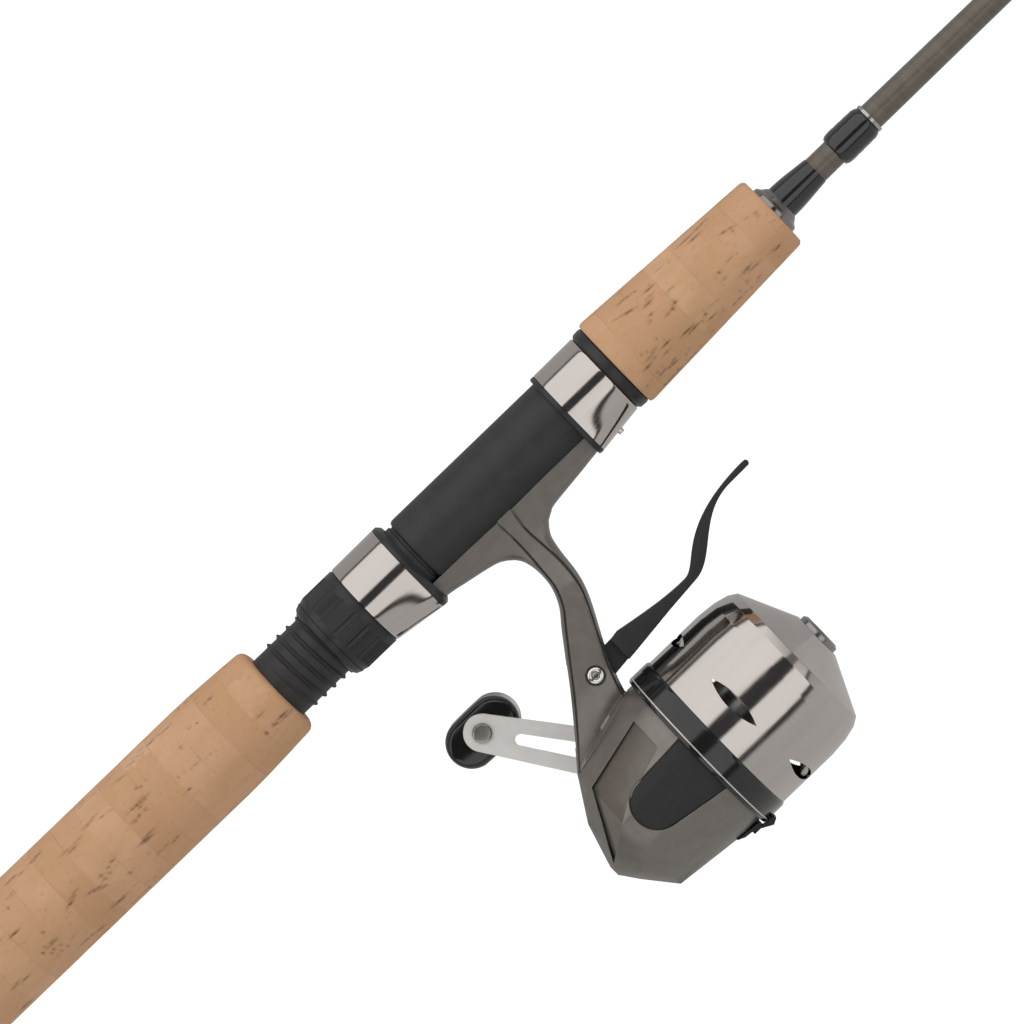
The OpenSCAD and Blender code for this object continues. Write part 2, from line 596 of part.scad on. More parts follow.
// Lens of half length a and half width b
module lens(a, b) {
    r = (a * a + b * b) / (2 * b);
    intersection() {
        translate([r - b, 0]) circle(r = r);
        translate([b - r, 0]) circle(r = r);
    }
}
module line_eyelet() color([0.55, 0.55, 0.53]) at_reel()
    turned([[cover_end - 2.6, 1.9], [cover_end - 2.2, 1.6], [cover_end + 0.6, 1.6], [cover_end + 1.4, 2.3],
        [cover_end + 1.4, 4.0], [cover_end + 0.9, 4.7], [cover_end + 0.02, 4.7], [cover_end + 0.02, 3],
        [cover_end - 2.6, 3]]);
module drag_washers() color([0.6, 0.6, 0.58]) at_reel()
    for (i = [0:2]) tube_x(deck_x + deck_t + 0.12 + 0.4 * i, 0.36, hub_r + 3.2, hub_r + 0.04);
spool_x = deck_x + deck_t + 1.4;
module spool() color([0.75, 0.75, 0.74]) at_reel() turned([
    [spool_x, hub_r + run_gap + 0.02], [spool_x, spool_r], [spool_x + 1, spool_r],
    [spool_x + 1.8, hub_r + 4], [hub_end - 2.4, hub_r + 4], [hub_end - 1.6, spool_r],
    [hub_end - 0.6, spool_r], [hub_end - 0.6, hub_r + run_gap + 0.02]]);
module spool_clip() color([0.6, 0.6, 0.6]) at_reel() translate([hub_end - 0.55, 0, 0]) rotate([0, 90, 0])
    rotate_extrude(angle = 300) translate([hub_r + 0.01, 0]) square([1.3, 0.5]);
module pinion_gear() color([0.78, 0.62, 0.3]) at_reel() {
    toothed_x = crank_x + main_pitch_r - face_half - 0.1;
    toothed_len = 2 * face_half + 0.2;
    difference() {
        union() {
            translate([toothed_x, 0, 0]) rotate([90, 0, 90]) linear_extrude(toothed_len) pinion_outline();
            bar_x(toothed_x + toothed_len, hub_end + 0.6 - toothed_x - toothed_len, sleeve_r);
        }
        bar_x(toothed_x - 1, 40, shaft_r + 0.05);
    }
}
module pinion_outline() {
    root = pinion_pitch_r - tooth_ded;
    circle(r = root);
    for (i = [0:pinion_teeth - 1]) rotate(360 * i / pinion_teeth) polygon([[root - 0.3, -0.68 * tooth_w],
        [pinion_pitch_r, -0.5 * tooth_w], [pinion_pitch_r + tooth_add, -0.26 * tooth_w],
        [pinion_pitch_r + tooth_add, 0.26 * tooth_w], [pinion_pitch_r, 0.5 * tooth_w], [root - 0.3, 0.68 * tooth_w]]);
}
module center_shaft() color([0.8, 0.8, 0.8]) at_reel() bar_x(cap_x + 1.1, 45.8, shaft_r);
module shaft_collar() color([0.6, 0.6, 0.6]) at_reel() tube_x(cap_x + 4.1, 1.2, cap_r, shaft_r + 0.005);
module thrust_cap() color([0.2, 0.2, 0.2]) at_reel() difference() {
    bar_x(cap_x, 4, cap_r);
    bar_x(cap_x + 1, 5, shaft_r + 0.05);
}
module return_spring() color([0.7, 0.7, 0.7]) at_reel()
    coil(shaft_r + 0.4, 0.14, cap_x + 5.5, crank_x + main_pitch_r - face_half - 0.3, 13);
// Open coil round X: rings of a round wire, joined into one closed tube
module coil(mean_r, wire_r, x0, x1, turns) {
    steps = turns * 12;
    sides = 6;
    points = [for (i = [0:steps], j = [0:sides - 1]) let (a = 30 * i, b = 360 * j / sides,
        r = mean_r + wire_r * cos(b), x = x0 + wire_r + (x1 - x0 - 2 * wire_r) * i / steps + wire_r * sin(b))
        [x, r * cos(a), r * sin(a)]];
    faces = [for (i = [0:steps - 1], j = [0:sides - 1]) let (k = (j + 1) % sides)
        [i * sides + j, i * sides + k, (i + 1) * sides + k, (i + 1) * sides + j]];
    ends = [[for (j = [sides - 1:-1:0]) j], [for (j = [0:sides - 1]) steps * sides + j]];
    polyhedron(points, concat(faces, ends));
}
module spinner_head() color([0.68, 0.66, 0.62]) at_reel() difference() {
    base = hub_end + 3.8;
    turned([[0.2, spinner_r - 0.7], [0.2, spinner_r], [base, spinner_r], [base + 1.2, spinner_r - 1.4],
        [base + 1.2, shaft_r + 0.005], [hub_end + 0.9, shaft_r + 0.005], [hub_end + 0.9, 2.6], [base, 2.6],
        [base, spinner_r - 1.4], [base - 0.8, spinner_r - 0.7]]);
    translate([4, 0, 0]) cylinder(h = 40, r = 0.86, $fn = 32);
}
module spinner_nut() color([0.7, 0.6, 0.35]) at_reel() translate([hub_end + 5.02, 0, 0]) rotate([0, 90, 0])
    difference() {
        cylinder(h = 1.7, r = 2.7, $fn = 6);
        translate([0, 0, -1]) cylinder(h = 4, r = shaft_r + 0.005);
    }
module pickup_pin() color([0.8, 0.8, 0.8]) at_reel() translate([4, 0, spinner_r - 1.8]) {
    cylinder(h = 3.4, r = 0.8);
    translate([0, 0, -0.8]) cylinder(h = 0.9, r = 1.2);
}

// ---------- crank ----------
module main_gear() color([0.78, 0.62, 0.3]) at_crank() {
    back = pinion_pitch_r + tooth_ded + 0.1;
    difference() {
        union() {
            bar_y(back, 1.9, main_pitch_r + face_half);
            for (i = [0:main_teeth - 1]) rotate([0, 360 * (i + 0.5) / main_teeth, 0])
                translate([main_pitch_r - face_half, 0, 0]) rotate([90, 0, 90])
                    linear_extrude(2 * face_half - 0.02) face_tooth(back);
        }
        bar_y(back - 2, 8, crank_shaft_r + 0.005);
        bar_y(back - 2, 2.9, main_pitch_r - face_half - 0.6);
    }
}
module face_tooth(back) {
    tip = pinion_pitch_r - tooth_add;
    polygon([[tip, -0.26 * tooth_w], [pinion_pitch_r, -0.5 * tooth_w], [back + 0.1, -0.7 * tooth_w],
        [back + 0.1, 0.7 * tooth_w], [pinion_pitch_r, 0.5 * tooth_w], [tip, 0.26 * tooth_w]]);
}
gear_back = pinion_pitch_r + tooth_ded + 0.1 + 1.9;
module crank_shaft() color([0.7, 0.7, 0.7]) at_crank()
    bar_y(gear_back - 1, arm_y + arm_t + 1.6 - gear_back + 1, crank_shaft_r);
module ratchet_wheel() color([0.6, 0.58, 0.55]) at_crank() translate([0, gear_back + 0.05, 0])
    rotate([-90, 0, 0]) linear_extrude(0.9) difference() {
        union() {
            circle(r = 5.2);
            for (a = [0:30:330]) rotate(a) polygon([[4.8, 0], [6.2, 0], [4.9, 2.4], [3, 2.4]]);
        }
        circle(r = crank_shaft_r + 0.005);
    }
module crank_bushing() color([0.72, 0.56, 0.3]) at_crank() difference() {
    union() {
        bar_y(6.9, arm_y - 7.5, 4);
        bar_y(body_r + 0.55, arm_y - body_r - 0.75, 5.4);
    }
    bar_y(0, 60, crank_shaft_r + run_gap);
}
module crank_arm() color([0.86, 0.85, 0.83]) at_crank() rotate([0, -crank_angle, 0])
    translate([0, arm_y, 0]) rotate([-90, 0, 0]) linear_extrude(arm_t) difference() {
        hull() {
            circle(r = 5.6);
            translate([crank_len, 0]) circle(r = 3.9);
        }
        hull() {
            translate([9.5, 0]) circle(r = 1.9);
            translate([crank_len - 8, 0]) circle(r = 1.2);
        }
        circle(r = crank_shaft_r + 0.005);
        translate([crank_len, 0]) circle(r = 1.3 + 0.005);
    }
module crank_nut() color([0.8, 0.8, 0.8]) at_crank() difference() {
    union() {
        translate([0, arm_y + arm_t + 0.02, 0]) rotate([-90, 0, 0]) cylinder(h = 2.4, r = 4.4, $fn = 6);
        bar_y(arm_y + arm_t + 2, 1.4, 3.2);
    }
    bar_y(arm_y, arm_t + 1.7, crank_shaft_r + 0.005);
}
module at_knob() at_crank() rotate([0, -crank_angle, 0]) translate([crank_len, 0, 0])
    rotate([0, crank_angle, 0]) children();
module knob_rivet() color([0.7, 0.7, 0.69]) at_knob() {
    bar_y(arm_y - 0.9, 0.9, 2.1);
    bar_y(arm_y - 0.1, arm_t + knob_len + 0.9, 1.3);
    bar_y(arm_y + arm_t + knob_len + 0.6, 0.9, 2.2);
}
module knob() color([0.12, 0.12, 0.12]) at_knob() translate([0, arm_y + arm_t + 0.3, 0]) rotate([-90, 0, 0])
    difference() {
        linear_extrude(knob_len) hull() for (s = [-1, 1]) translate([s * (knob_w - knob_t) / 2, 0])
            circle(r = knob_t / 2);
        translate([0, 0, -1]) cylinder(h = knob_len + 2, r = 1.3 + 0.07);
        translate([0, 0, knob_len - 0.9]) cylinder(h = 3, r = 2.6);
        // finger hollows on the two long faces
        for (s = [-1, 1]) translate([0, s * (knob_t / 2 + 17.2), knob_len * 0.52]) rotate([0, 90, 0])
            cylinder(h = 60, r = 18, center = true);
    }

// ---------- trigger ----------
// Blade edges from the pivot: nearly straight, then an S-bend up to the finger rest
module trigger_blade() {
    top = concat([[2, 3.1], [6, 2.9], [9.0, 3.4]], bezier([[9.0, 3.4], [16, 2.2], [21, 1.4], [26, 1.5]], 6),
        bezier([[26, 1.5], [30, 1.6], [31.5, 9.6], [49, 10.4]], 12), [[51.5, 10.4]]);
    low = concat([[51.6, 9.2]], bezier([[46, 9.1], [37, 9.0], [33.6, 0.2], [27.5, -0.1]], 12),
        [[20, -0.8], [9, -2.1], [2, -2.8]]);
    slab_y(2 * trigger_half_w) polygon(concat(top, low));
}
module trigger_lever() color([0.13, 0.13, 0.13]) at_pivot() difference() {
    axis_z = -(body_r + pivot_up);
    tip = [cap_x - pivot_x - 0.2, axis_z + 3.6];
    union() {
        intersection() {
            trigger_blade();
            translate([7, -20, -20]) cube([60, 40, 60]);
        }
        intersection() {
            trigger_blade();
            slab_y(3) square([30, 30], center = true);
        }
        slab_y(3) {
            circle(r = 3.1);
            hull() {
                circle(r = 2.4);
                translate([tip[0] - 1.3, tip[1]]) circle(r = 1.3);
            }
        }
        slab_y(2.2) polygon([tip, [tip[0], axis_z + 0.9], [tip[0] - 0.4, axis_z + 0.5],
            [tip[0] - 1.8, axis_z + 0.9], [tip[0] - 2.6, tip[1]]]);
    }
    bar_y(-10, 20, trigger_pin_r + run_gap);
}
module trigger_pin() color([0.75, 0.75, 0.74]) at_pivot() difference() {
    union() {
        bar_y(-stem_half_t - 0.1, 1.1, 2.0);
        bar_y(-stem_half_t, 2 * stem_half_t + 1.6, trigger_pin_r);
    }
    translate([0, -stem_half_t - 0.2, 0]) rotate([-90, 0, 0]) cylinder(h = 0.8, r = 0.9, $fn = 6);
}

// ---------- anti-reverse ----------
module anti_reverse_switch() color([0.12, 0.12, 0.12]) at_reel() {
    slab_y(8) polygon([[-19.8, -body_r + 1.25], [band_x - 0.6, -body_r + 0.7], [band_x - 0.6, -body_r - 0.42],
        [cover_x - 3.2, -body_r - 0.42], [cover_x - 3.2, -body_r - 1.1], [cover_x - 4.4, -body_r - 1.7],
        [-16, -body_r + 0.2], [-18.3, -body_r + 0.45], [-19.8, -body_r + 1.1]]);
    translate([-16.6, -0.9, -body_r - 0.6]) cube([2, 1.8, 3.4]);
}
pawl_x = crank_x - 6.4;
pawl_z = -8.6;
module pawl() color([0.6, 0.58, 0.55]) at_reel() translate([pawl_x, gear_back + 0.1, pawl_z])
    rotate([-90, 0, 0]) linear_extrude(0.8) difference() {
        union() {
            circle(r = 1.7);
            polygon([[0, -1.6], [5.6, -1.2], [5.9, -0.2], [0, 1.6]]);
        }
        circle(r = 0.8 + run_gap);
    }

butt_cap();
rear_grip();
blank_butt();
seat_body();
seat_arbors();
fixed_hood();
hood_ring();
fore_grip();
winding_check();
grip_wrap();
ferrule_spigot();
lock_nut();
sliding_hood();
hood_liner();
blank_tip();
ferrule_wrap();
trim_ring();
guide_frame(0);  // guide_frame_1
guide_frame(1);  // guide_frame_2
guide_frame(2);  // guide_frame_3
guide_frame(3);  // guide_frame_4
guide_ring(0);  // guide_ring_1
guide_ring(1);  // guide_ring_2
guide_ring(2);  // guide_ring_3
guide_ring(3);  // guide_ring_4
guide_wraps();
tip_top();
tip_ring();
reel_frame();
rear_housing();
side_insets();
band_ring();
deck_plate();
deck_screws();
front_cover();
line_eyelet();
spool();
drag_washers();
spool_clip();
pinion_gear();
center_shaft();
shaft_collar();
thrust_cap();
return_spring();
spinner_head();
spinner_nut();
pickup_pin();
main_gear();
crank_shaft();
ratchet_wheel();
crank_bushing();
crank_arm();
crank_nut();
knob_rivet();
knob();
trigger_lever();
trigger_pin();
anti_reverse_switch();
pawl();
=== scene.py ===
import math
import bmesh
import bpy
import numpy as np
from mathutils import Matrix, Vector


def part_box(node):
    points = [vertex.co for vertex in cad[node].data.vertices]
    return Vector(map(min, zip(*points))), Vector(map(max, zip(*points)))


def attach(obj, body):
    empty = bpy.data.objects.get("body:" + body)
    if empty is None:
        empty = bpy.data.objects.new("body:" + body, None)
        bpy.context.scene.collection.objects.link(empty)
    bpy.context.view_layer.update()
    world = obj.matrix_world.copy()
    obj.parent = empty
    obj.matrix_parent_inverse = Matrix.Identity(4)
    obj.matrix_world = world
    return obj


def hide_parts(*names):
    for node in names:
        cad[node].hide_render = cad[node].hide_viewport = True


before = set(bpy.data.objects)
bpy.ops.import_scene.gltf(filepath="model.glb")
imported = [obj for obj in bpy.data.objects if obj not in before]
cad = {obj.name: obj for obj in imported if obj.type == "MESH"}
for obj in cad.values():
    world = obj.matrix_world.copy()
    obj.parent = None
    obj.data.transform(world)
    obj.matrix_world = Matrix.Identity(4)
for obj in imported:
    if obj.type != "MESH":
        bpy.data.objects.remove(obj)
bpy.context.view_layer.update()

# ---------- rear grip ----------
# Rings of natural cork, 6.5 mm thick, are glued in a stack, bored for the blank and turned to shape on a
# lathe. Lenticels leave dark open streaks in the surface. A moulded rubber cap closes the butt end.
mm = 0.001
turn = 2 * math.pi


def build(name, points, faces, material, sharp=32, weld=True):
    """A closed mesh piece from points in millimetres."""
    mesh = bpy.data.meshes.new(name)
    mesh.from_pydata([tuple(p) for p in np.asarray(points, float) * mm], [], faces)
    work = bmesh.new()
    work.from_mesh(mesh)
    if weld:
        bmesh.ops.remove_doubles(work, verts=work.verts, dist=0.002 * mm)
        bmesh.ops.dissolve_degenerate(work, edges=work.edges, dist=0.0005 * mm)
    bmesh.ops.recalc_face_normals(work, faces=work.faces)
    work.to_mesh(mesh)
    work.free()
    return finish_mesh(name, mesh, material, sharp)


def finish_mesh(name, mesh, material, sharp=32):
    """Shades a mesh smooth up to its sharp edges and makes it an object."""
    mesh.polygons.foreach_set("use_smooth", [True] * len(mesh.polygons))
    mesh.set_sharp_from_angle(angle=math.radians(sharp))
    mesh.materials.clear()
    if material:
        mesh.materials.append(material)
    piece = bpy.data.objects.new(name, mesh)
    bpy.context.scene.collection.objects.link(piece)
    return piece


def net(rows, columns, wrap_rows, start=0):
    """Quads of a net of points that closes round its columns, and round its rows where it wraps."""
    last = rows if wrap_rows else rows - 1
    faces = []
    for i in range(last):
        k = (i + 1) % rows
        for j in range(columns):
            n = (j + 1) % columns
            faces.append((start + i * columns + j, start + i * columns + n,
                          start + k * columns + n, start + k * columns + j))
    return faces


def node_group(name, inputs, outputs):
    """An empty shader node group with named sockets."""
    group = bpy.data.node_groups.new(name, "ShaderNodeTree")
    for label, kind, value in inputs:
        socket = group.interface.new_socket(label, in_out="INPUT", socket_type=kind)
        if value is not None:
            socket.default_value = value
    for label, kind in outputs:
        group.interface.new_socket(label, in_out="OUTPUT", socket_type=kind)
    return group, group.nodes.new("NodeGroupInput"), group.nodes.new("NodeGroupOutput")


def math_node(tree, operation, a, b=None, clamp=False):
    """A math node on two values or linked sockets."""
    node = tree.nodes.new("ShaderNodeMath")
    node.operation = operation
    node.use_clamp = clamp
    for socket, value in zip(node.inputs, (a, b)):
        if hasattr(value, "is_linked"):
            tree.links.new(value, socket)
        elif value is not None:
            socket.default_value = value
    return node.outputs[0]


grain_group, g_in, g_out = node_group(
    "grain", [("Vector", "NodeSocketVector", None), ("Scale", "NodeSocketFloat", 1000.0)],
    [("Fine", "NodeSocketFloat"), ("Broad", "NodeSocketFloat")])
for label, share, detail in (("Fine", 1.0, 4.0), ("Broad", 0.09, 3.0)):
    noise = grain_group.nodes.new("ShaderNodeTexNoise")
    noise.inputs["Detail"].default_value = detail
    noise.inputs["Roughness"].default_value = 0.6
    grain_group.links.new(g_in.outputs["Vector"], noise.inputs["Vector"])
    grain_group.links.new(math_node(grain_group, "MULTIPLY", g_in.outputs["Scale"], share),
                          noise.inputs["Scale"])
    grain_group.links.new(noise.outputs["Fac"], g_out.inputs[label])

def blank_material(name):
    """A new material with its node tree and its one shader."""
    material = bpy.data.materials.new(name)
    material.use_nodes = True
    shader = material.node_tree.nodes["Principled BSDF"]
    return material, material.node_tree, shader


def mixed(tree, share, a, b):
    """The colour between two colours, or linked colours, by a share."""
    node = tree.nodes.new("ShaderNodeMix")
    node.data_type = "RGBA"
    tree.links.new(share, node.inputs["Factor"])
    for socket, value in ((node.inputs[6], a), (node.inputs[7], b)):
        if hasattr(value, "is_linked"):
            tree.links.new(value, socket)
        else:
            socket.default_value = (*value, 1)
    return node.outputs[2]


def spread(tree, value, low, high, to_low, to_high):
    """A value mapped from one span to another."""
    node = tree.nodes.new("ShaderNodeMapRange")
    tree.links.new(value, node.inputs["Value"])
    for label, number in (("From Min", low), ("From Max", high), ("To Min", to_low), ("To Max", to_high)):
        node.inputs[label].default_value = number
    return node.outputs["Result"]


def bumped(tree, shader, height, depth, normal=None):
    """Feeds a height in millimetres to the shader's normal."""
    bump = tree.nodes.new("ShaderNodeBump")
    bump.inputs["Distance"].default_value = depth * mm
    tree.links.new(height, bump.inputs["Height"])
    if normal:
        tree.links.new(normal, bump.inputs["Normal"])
    tree.links.new(bump.outputs["Normal"], shader.inputs["Normal"])


def uneven(tree, shader, grain, smooth, rough, low=0.3, high=0.7):
    """Roughness that varies with the fine grain."""
    tree.links.new(spread(tree, grain.outputs["Fine"], low, high, smooth, rough),
                   shader.inputs["Roughness"])


def grained(tree, size, stretch=(1, 1, 1)):
    """The grain group on object coordinates, with its grain size in millimetres."""
    where = tree.nodes.new("ShaderNodeTexCoord")
    scaled = tree.nodes.new("ShaderNodeMapping")
    scaled.inputs["Scale"].default_value = stretch
    tree.links.new(where.outputs["Object"], scaled.inputs["Vector"])
    grain = tree.nodes.new("ShaderNodeGroup")
    grain.node_tree = grain_group
    grain.inputs["Scale"].default_value = 1 / (size * mm)
    tree.links.new(scaled.outputs["Vector"], grain.inputs["Vector"])
    return grain


def put(piece, body, slot, *nodes):
    """Rides a finished piece on its body and hides the nodes it stands for."""
    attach(piece, body)
    if nodes:
        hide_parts(*nodes)
    return piece


cork, cork_tree, cork_shader = blank_material("cork")
cork_grain = grained(cork_tree, 0.55, (0.5, 1, 1))
tint = cork_tree.nodes.new("ShaderNodeAttribute")
tint.attribute_name = "tint"
pit = cork_tree.nodes.new("ShaderNodeAttribute")
pit.attribute_name = "pit"
cork_patch = mixed(cork_tree, tint.outputs["Fac"], (0.60, 0.31, 0.165), (0.79, 0.49, 0.30))
cork_cloud = mixed(cork_tree, spread(cork_tree, cork_grain.outputs["Broad"], 0.35, 0.68, 0, 0.75),
                   cork_patch, (0.62, 0.36, 0.18))
cork_fleck = mixed(cork_tree, spread(cork_tree, cork_grain.outputs["Fine"], 0.60, 0.76, 0, 0.55),
                   cork_cloud, (0.36, 0.20, 0.10))
cork_colour = mixed(cork_tree, pit.outputs["Fac"], cork_fleck, (0.115, 0.058, 0.028))
cork_tree.links.new(cork_colour, cork_shader.inputs["Base Color"])
uneven(cork_tree, cork_shader, cork_grain, 0.62, 0.82)
bumped(cork_tree, cork_shader, cork_grain.outputs["Fine"], 0.07)


def cork_grip(name, outline, bore, seed, columns=184, step=0.4, ring=6.5):
    """A turned stack of cork rings: outline lists places along the rod and radii, rear to front."""
    chance = np.random.default_rng(seed)
    x0, x1 = outline[0][0], outline[-1][0]
    seams = np.arange(x0 + chance.uniform(2, 5), x1 - 1, ring)
    places = np.concatenate([np.arange(x0, x1, step), [x1], [p[0] for p in outline],
                             seams, seams - 0.13, seams + 0.13])
    places = np.unique(np.round(np.clip(places, x0, x1), 2))
    places = places[np.concatenate([[True], np.diff(places) > 0.05])]
    angle = np.arange(columns) * turn / columns
    x, a = np.meshgrid(places, angle, indexing="ij")
    r = np.interp(x, [p[0] for p in outline], [p[1] for p in outline])
    which = np.searchsorted(seams, x, side="right")
    shade = np.zeros_like(x)
    for i in range(len(seams) + 1):
        cuts = np.sort(chance.uniform(0, turn, chance.integers(3, 6)))
        shades = np.clip(chance.normal(0.5, 0.24, len(cuts) + 1), 0, 1)
        wavy = a + 0.05 * np.sin(x * 1.7 + i) + 0.03 * np.sin(x * 4.1 + 2 * i)
        block = shades[np.searchsorted(cuts, wavy % turn) % len(cuts)]
        shade = np.where(which == i, 0.35 * shades[-1] + 0.65 * block, shade)
    hole = np.zeros_like(x)
    for seam in seams:
        open_share = 0.5 + 0.5 * np.sin(a * chance.integers(2, 5) + chance.uniform(0, turn))
        hole += np.where(np.abs(x - seam) < 0.06, 0.05 + 0.16 * open_share ** 3, 0)
    for k in range(int((x1 - x0) * 2.3)):
        streak = chance.random() < 0.72
        cx, ca = chance.uniform(x0 + 1, x1 - 1), chance.uniform(0, turn)
        length = chance.uniform(0.5, 2.1) if streak else chance.uniform(0.25, 0.5)
        width = chance.uniform(0.16, 0.34) if streak else chance.uniform(0.22, 0.42)
        lean = chance.normal(0, 0.12)
        for n in range(chance.integers(1, 4)):
            dx = x - cx - n * chance.uniform(0.8, 2.4)
            da = ((a - ca + math.pi) % turn - math.pi) * r - lean * dx - n * chance.normal(0, 0.5)
            wobble = 1 + 0.3 * np.sin(dx * 5 + k)
            hole += chance.uniform(0.3,
                                   1) * np.exp(-((dx / length) ** 2 + (da / (width * wobble)) ** 2) * 1.6)
    hole = np.clip(hole, 0, 1)
    r = r - 0.28 * hole - 0.012 * (which % 2)
    inner = np.full((1, columns), bore)
    ends = [np.full((1, columns), v) for v in (x1, x1, x0, x0)]
    x = np.concatenate([x] + ends)
    r = np.concatenate([r, np.minimum(r[-1:], r[-1:] * 0.5 + bore * 0.5), inner, inner,
                        r[:1] * 0.5 + bore * 0.5])
    pad = np.zeros((4, columns))
    angles = np.repeat(angle[None], len(x), 0)
    points = np.stack([x, r * np.cos(angles), r * np.sin(angles)], -1)
    piece = build(name, points.reshape(-1, 3), net(len(x), columns, True), cork, 40, weld=False)
    for label, values in (("tint", np.concatenate([shade, pad + 0.5])),
                          ("pit", np.concatenate([hole, pad]))):
        layer = piece.data.attributes.new(label, "FLOAT", "POINT")
        layer.data.foreach_set("value", values.ravel().astype(np.float32))
    return piece


butt_bore, fore_bore = 4.95, 4.05
rear_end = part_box("rear_grip")[1].x / mm
grip_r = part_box("rear_grip")[1].y / mm
cap_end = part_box("butt_cap")[1].x / mm
rear_outline = [(cap_end, grip_r - 0.02), (rear_end - 19, grip_r - 0.02), (rear_end - 14, grip_r - 0.12),
                (rear_end - 8, grip_r - 0.42)]
rear_outline += [(rear_end - 1.8 + 1.8 * math.sin(v), grip_r - 2.6 + 1.8 * math.cos(v))
                 for v in np.linspace(0, math.pi / 2, 7)]
put(cork_grip("rear_cork_grip", rear_outline, butt_bore, 11), "handle", "cork", "rear_grip")

def loft(name, rings, material, sharp=32, wrap=False):
    """A skin through closed rings of points, capped at both ends unless it wraps."""
    rings = np.asarray(rings, float)
    rows, columns = rings.shape[:2]
    faces = net(rows, columns, wrap)
    if not wrap:
        faces += [tuple(range(columns))[::-1], tuple(range((rows - 1) * columns, rows * columns))]
    return build(name, rings.reshape(-1, 3), faces, material, sharp)


def about(axis, at, along, out_a, out_b):
    """Points from a place along a turning axis and two offsets square to it."""
    order = {"x": (along, out_a, out_b), "y": (out_a, along, out_b), "z": (out_a, out_b, along)}[axis]
    return np.stack(order, -1) + np.asarray(at, float)


def turned(name, profile, material, steps=128, at=(0, 0, 0), axis="x", shape=None, sharp=32):
    """A turned piece from a closed profile of places along the axis and radii."""
    profile = np.asarray(profile, float)
    angle = np.arange(steps) * turn / steps
    along = np.repeat(profile[None, :, 0], steps, 0)
    radius = np.repeat(profile[None, :, 1], steps, 0)
    if shape:
        radius = shape(along, radius, angle[:, None])
    rings = about(axis, at, along, radius * np.cos(angle)[:, None], radius * np.sin(angle)[:, None])
    return loft(name, rings, material, sharp, wrap=True)


def rounded(corners, steps=4):
    """A closed profile whose corners are rounded. A corner is a place, a radius and a rounding."""
    out = []
    count = len(corners)
    for i, (x, r, rounding) in enumerate(corners):
        here = np.array([x, r], float)
        if rounding <= 0:
            out.append(here)
            continue
        before = np.array(corners[i - 1][:2], float) - here
        after = np.array(corners[(i + 1) % count][:2], float) - here
        la, lb = np.linalg.norm(before), np.linalg.norm(after)
        before, after = before / la, after / lb
        half = math.acos(np.clip(before @ after, -1, 1)) / 2
        reach = min(rounding / math.tan(half), la * 0.48, lb * 0.48)
        for k in range(steps + 1):
            u = k / steps
            a, b = here + before * reach, here + after * reach
            out.append((1 - u) ** 2 * a + 2 * u * (1 - u) * here + u * u * b)
    return out


edge_group, e_in, e_out = node_group(
    "edge", [("Radius", "NodeSocketFloat", 0.0002), ("Gain", "NodeSocketFloat", 3.0)],
    [("Mask", "NodeSocketFloat"), ("Normal", "NodeSocketVector")])
bevel = edge_group.nodes.new("ShaderNodeBevel")
bevel.samples = 4
edge_group.links.new(e_in.outputs["Radius"], bevel.inputs["Radius"])
face = edge_group.nodes.new("ShaderNodeNewGeometry")
dot = edge_group.nodes.new("ShaderNodeVectorMath")
dot.operation = "DOT_PRODUCT"
edge_group.links.new(bevel.outputs["Normal"], dot.inputs[0])
edge_group.links.new(face.outputs["Normal"], dot.inputs[1])
away = math_node(edge_group, "SUBTRACT", 1.0, dot.outputs["Value"])
edge_group.links.new(math_node(edge_group, "MULTIPLY", away, e_in.outputs["Gain"], True),
                     e_out.inputs["Mask"])
edge_group.links.new(bevel.outputs["Normal"], e_out.inputs["Normal"])


def surface(name, colour, roughness, metallic=0.0, size=0.5, depth=0.02, tint=0.12, rough_span=0.08,
            wear=None, edge=0.12, gain=2.0, stretch=(1, 1, 1), coat=0.0, coat_roughness=0.1):
    """A moulded, painted or metal finish with grain, uneven gloss and, where it wears, paler edges."""
    material, tree, shader = blank_material(name)
    grain = grained(tree, size, stretch)
    dark = [c * (1 - tint) for c in colour]
    light = [min(1, c * (1 + tint)) for c in colour]
    shade = mixed(tree, spread(tree, grain.outputs["Broad"], 0.3, 0.7, 0, 1), dark, light)
    normal = None
    if wear:
        rim = tree.nodes.new("ShaderNodeGroup")
        rim.node_tree = edge_group
        rim.inputs["Radius"].default_value = edge * mm
        rim.inputs["Gain"].default_value = gain
        worn = math_node(tree, "MULTIPLY", rim.outputs["Mask"],
                         spread(tree, grain.outputs["Broad"], 0.35, 0.6, 0.25, 1))
        shade = mixed(tree, worn, shade, wear)
        normal = rim.outputs["Normal"]
    tree.links.new(shade, shader.inputs["Base Color"])
    tree.links.new(spread(tree, grain.outputs["Broad"], 0.3, 0.7, roughness - rough_span / 2,
                          roughness + rough_span / 2), shader.inputs["Roughness"])
    bumped(tree, shader, grain.outputs["Fine"], depth, normal)
    shader.inputs["Metallic"].default_value = metallic
    shader.inputs["Coat Weight"].default_value = coat
    shader.inputs["Coat Roughness"].default_value = coat_roughness
    return material


rubber = surface("butt_rubber", (0.022, 0.022, 0.023), 0.72, size=0.35, depth=0.03, tint=0.25)
cap = rounded([(0, 0, 0), (0, 4.2, 0.1), (0.35, 4.5, 0.1), (0.35, 5.3, 0.1), (0, 5.6, 0.1),
               (0, grip_r - 0.9, 0), (0.5, grip_r - 0.4, 0.5), (1.8, grip_r, 0.8), (cap_end - 0.7, grip_r,
                                                                                    0.1),
               (cap_end - 0.45, grip_r - 0.25, 0.1), (cap_end - 0.01, grip_r - 0.25, 0),
               (cap_end - 0.01, fore_bore, 0), (3, fore_bore, 0), (3, 0, 0)])
put(turned("rubber_butt_cap", cap, rubber), "handle", "black_rubber", "butt_cap")

